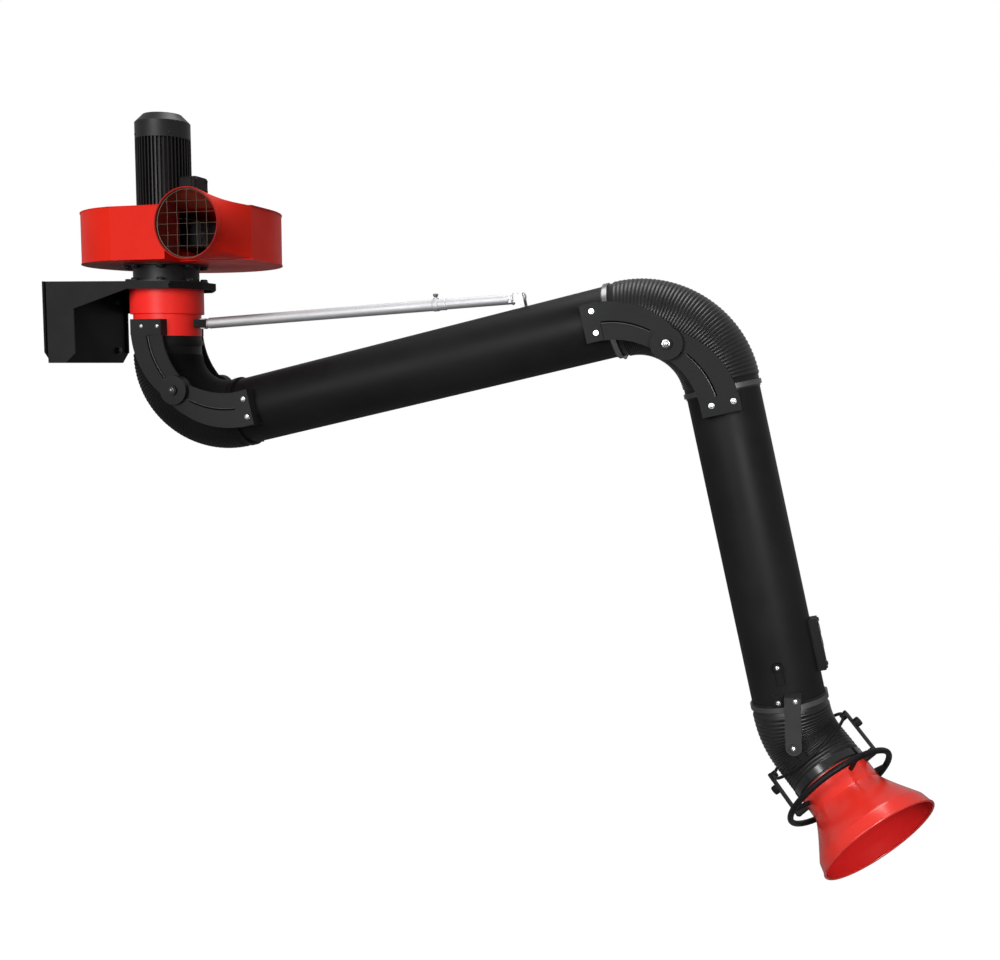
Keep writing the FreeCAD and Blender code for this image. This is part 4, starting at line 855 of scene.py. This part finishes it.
# %% [markdown]
# ## Wrist fittings
# Straps at the end of the lower tube carry the gimbal ring. Each stands on a curved saddle that has one
# screw, and a second screw goes through the strap. The hood's yoke is clamped by fluted knobs, and a screw
# holds the damper's lever.

# %% Saddles
saddle_bottom, saddle_bevel, saddle_top = 0.0801, 0.0816, 0.0824
saddle_start, saddle_end, bevel = 0.786, 0.822, 0.0008
saddle_low, saddle_high = math.radians(-22), math.radians(30)


def saddle(sign):
    """Curved plate on the lower tube: an arc of a flat, bevelled section, closed at both ends."""
    a = np.linspace(saddle_low, saddle_high, 20)[:, None]
    section = np.array([(saddle_start, saddle_bottom), (saddle_end, saddle_bottom),
                        (saddle_end, saddle_bevel), (saddle_end - bevel, saddle_top),
                        (saddle_start + bevel, saddle_top), (saddle_start, saddle_bevel)])
    local = np.stack([section[None, :, 0] + 0 * a, sign * section[None, :, 1] * np.cos(a),
                      section[None, :, 1] * np.sin(a) + offset], axis=-1)
    return capped(lower[0] + local @ lower[1])


skin("wrist_saddles", [saddle(sign) for sign in side_y.values()], strap_black, "lower_arm")

# %% Wrist screws
wrist_strap_face, wrist_pivot_face, lever_face = 0.1122, 0.1173, 0.096
wrist_places = []
saddle_turn = math.radians(-10.5)
c, s = math.cos(saddle_turn), math.sin(saddle_turn)
for sign in side_y.values():
    wrist_places.append((carried(lower, 0.804, sign * saddle_top * c, saddle_top * s + offset),
                         np.array([0, sign * c, s]) @ lower[1]))
    wrist_places.append((carried(lower, 0.798, sign * wrist_strap_face, 0.0240 + offset), (0, sign, 0)))
pivot_places = [(carried(lower, 0.896, sign * wrist_pivot_face, offset), (0, sign, 0))
                for sign in side_y.values()]
damper_places = [(carried(lower, 0.725, -lever_face, offset), (0, -1, 0))]
fasteners("wrist_screws", socket_rows, wrist_places, bright_steel, "lower_arm", size=0.6)
fasteners("wrist_pivot_screws", small_rows, pivot_places, bright_steel, "lower_arm",
          columns=24)
fasteners("damper_screw", small_rows, damper_places, bright_steel, "damper", columns=24)

# %% Knobs of the hood's yoke
knob_rows = [(0, 0), (0, 0.0076), (0.0016, 0.0084), (0.0026, 0.0100, 0, 0.06), (0.0100, 0.0100, 0, 0.06),
             (0.0118, 0.0090, 0, 0.05), (0.0126, 0.0052), (0.0128, 0)]
yoke_place, yoke_face = 0.028, 0.1132
knobs = [stacked(knob_rows, carried(hood, yoke_place, 0, sign * yoke_face), sign * gimbal_up,
                 columns=64, flutes=6) for sign in (1, -1)]
skin("hood_knobs", knobs, moulded_black, "hood", crease=50)

# %% [markdown]
# ## Terminal box, gland and controls
# The motor's terminal box is a moulded case with a screwed lid and a cable gland below it. The box on the
# lower tube holds the switches, within reach of the welder. Both have soft edges, so they are
# superellipsoids.

# %% Terminal box
(x0, y0, z0), (x1, y1, z1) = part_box("terminal_box")
lid_deep, lid_lap, lid_proud, lid_inset = 0.012, 0.003, 0.001, 0.007
case = rounded_block((x0 - 0.001, y0, z0), (x1 - lid_deep + lid_lap, y1, z1), power=0.22)
cover = rounded_block((x1 - lid_deep, y0 - lid_proud, z0 - lid_proud), (x1, y1 + lid_proud, z1 + lid_proud),
                      power=0.24)
terminal_piece = skin("terminal_case", [case, cover], moulded_black, "bracket", crease=60)
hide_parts("terminal_box")
lid_places = [((x1 - 0.0008, y, z), (1, 0, 0)) for y in (y0 + lid_inset, y1 - lid_inset)
              for z in (z0 + lid_inset, z1 - lid_inset)]
fasteners("terminal_screws", small_rows, lid_places, black_screw, "bracket", columns=24)

# %% Cable gland
gland_low, gland_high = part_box("cable_gland")
gland_top = ((gland_low[0] + gland_high[0]) / 2, 0, gland_high[2])
gland_rows = [(0, 0), (0, 0.0082), (0.0020, 0.0082), (0.0021, 0.0088, 1), (0.0070, 0.0088, 1),
              (0.0072, 0.0074), (0.0084, 0.0074), (0.0086, 0.0086, 0, 0.03), (0.0130, 0.0082, 0, 0.03),
              (0.0156, 0.0060), (0.0160, 0.0040), (0.0120, 0.0040), (0.0120, 0)]
gland_grid = stacked(gland_rows, gland_top, (0, 0, -1), columns=48, flutes=12)
gland = skin("gland_nut", [gland_grid], moulded_black, "bracket")
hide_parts("cable_gland")

# %% Control box
control_axes = (carried(lower, 0, 0, offset), lower[1])
control_low, control_high = (0.6505, -0.0205, 0.0915), (0.7605, 0.0205, 0.0957)
switch_length, switch_half, switch_bottom, switch_top = 0.022, 0.010, 0.0940, 0.0972
cover = rounded_block(control_low, control_high, control_axes, power=0.18)
switches = [rounded_block((x, -switch_half, switch_bottom), (x + switch_length, switch_half, switch_top),
                          control_axes, power=0.3) for x in (0.664, 0.694)]
control_places = [(carried(lower, x, y, 0.0950 + offset), lower[1][2])
                  for x in (0.656, 0.755) for y in (-0.0145, 0.0145)]
skin("control_cover", [cover], moulded_black, "lower_arm", crease=60)
skin("control_switches", switches, switch_grey, "lower_arm", crease=60)
fasteners("control_screws", small_rows, control_places, black_screw, "lower_arm",
          columns=24)

# %% [markdown]
# ## Floor
# The floor lies under the lowest reach of the hood. It is white where the camera sees it, mixed with a
# little of its own shading so that the shadow of the arm stays.

# %% Floor
floor_material = bpy.data.materials.new("floor")
floor_material.use_nodes = True
tree = floor_material.node_tree
matt = tree.nodes["Principled BSDF"]
matt.inputs["Base Color"].default_value = (0.32, 0.32, 0.32, 1)
matt.inputs["Roughness"].default_value = 0.9
glow = add_node(tree, "ShaderNodeEmission", sockets={"Strength": 1.06})
rays = add_node(tree, "ShaderNodeLightPath")
share = add_node(tree, "ShaderNodeMath", operation="MULTIPLY", sockets={1: 0.94})
choice = add_node(tree, "ShaderNodeMixShader")
tree.links.new(rays.outputs["Is Camera Ray"], share.inputs[0])
tree.links.new(share.outputs[0], choice.inputs[0])
tree.links.new(matt.outputs[0], choice.inputs[1])
tree.links.new(glow.outputs[0], choice.inputs[2])
tree.links.new(choice.outputs[0], tree.nodes["Material Output"].inputs[0])
floor_mesh = bpy.data.meshes.new("floor")
floor_z, floor_half = cad_box[0][2] - 0.35, 9
corners = [(floor_half * x, floor_half * y, floor_z) for x, y in ((-1, -1), (1, -1), (1, 1), (-1, 1))]
floor_mesh.from_pydata(corners, [], [(0, 1, 2, 3)])
floor = bpy.data.objects.new("floor", floor_mesh)
floor.data.materials.append(floor_material)
bpy.context.scene.collection.objects.link(floor)
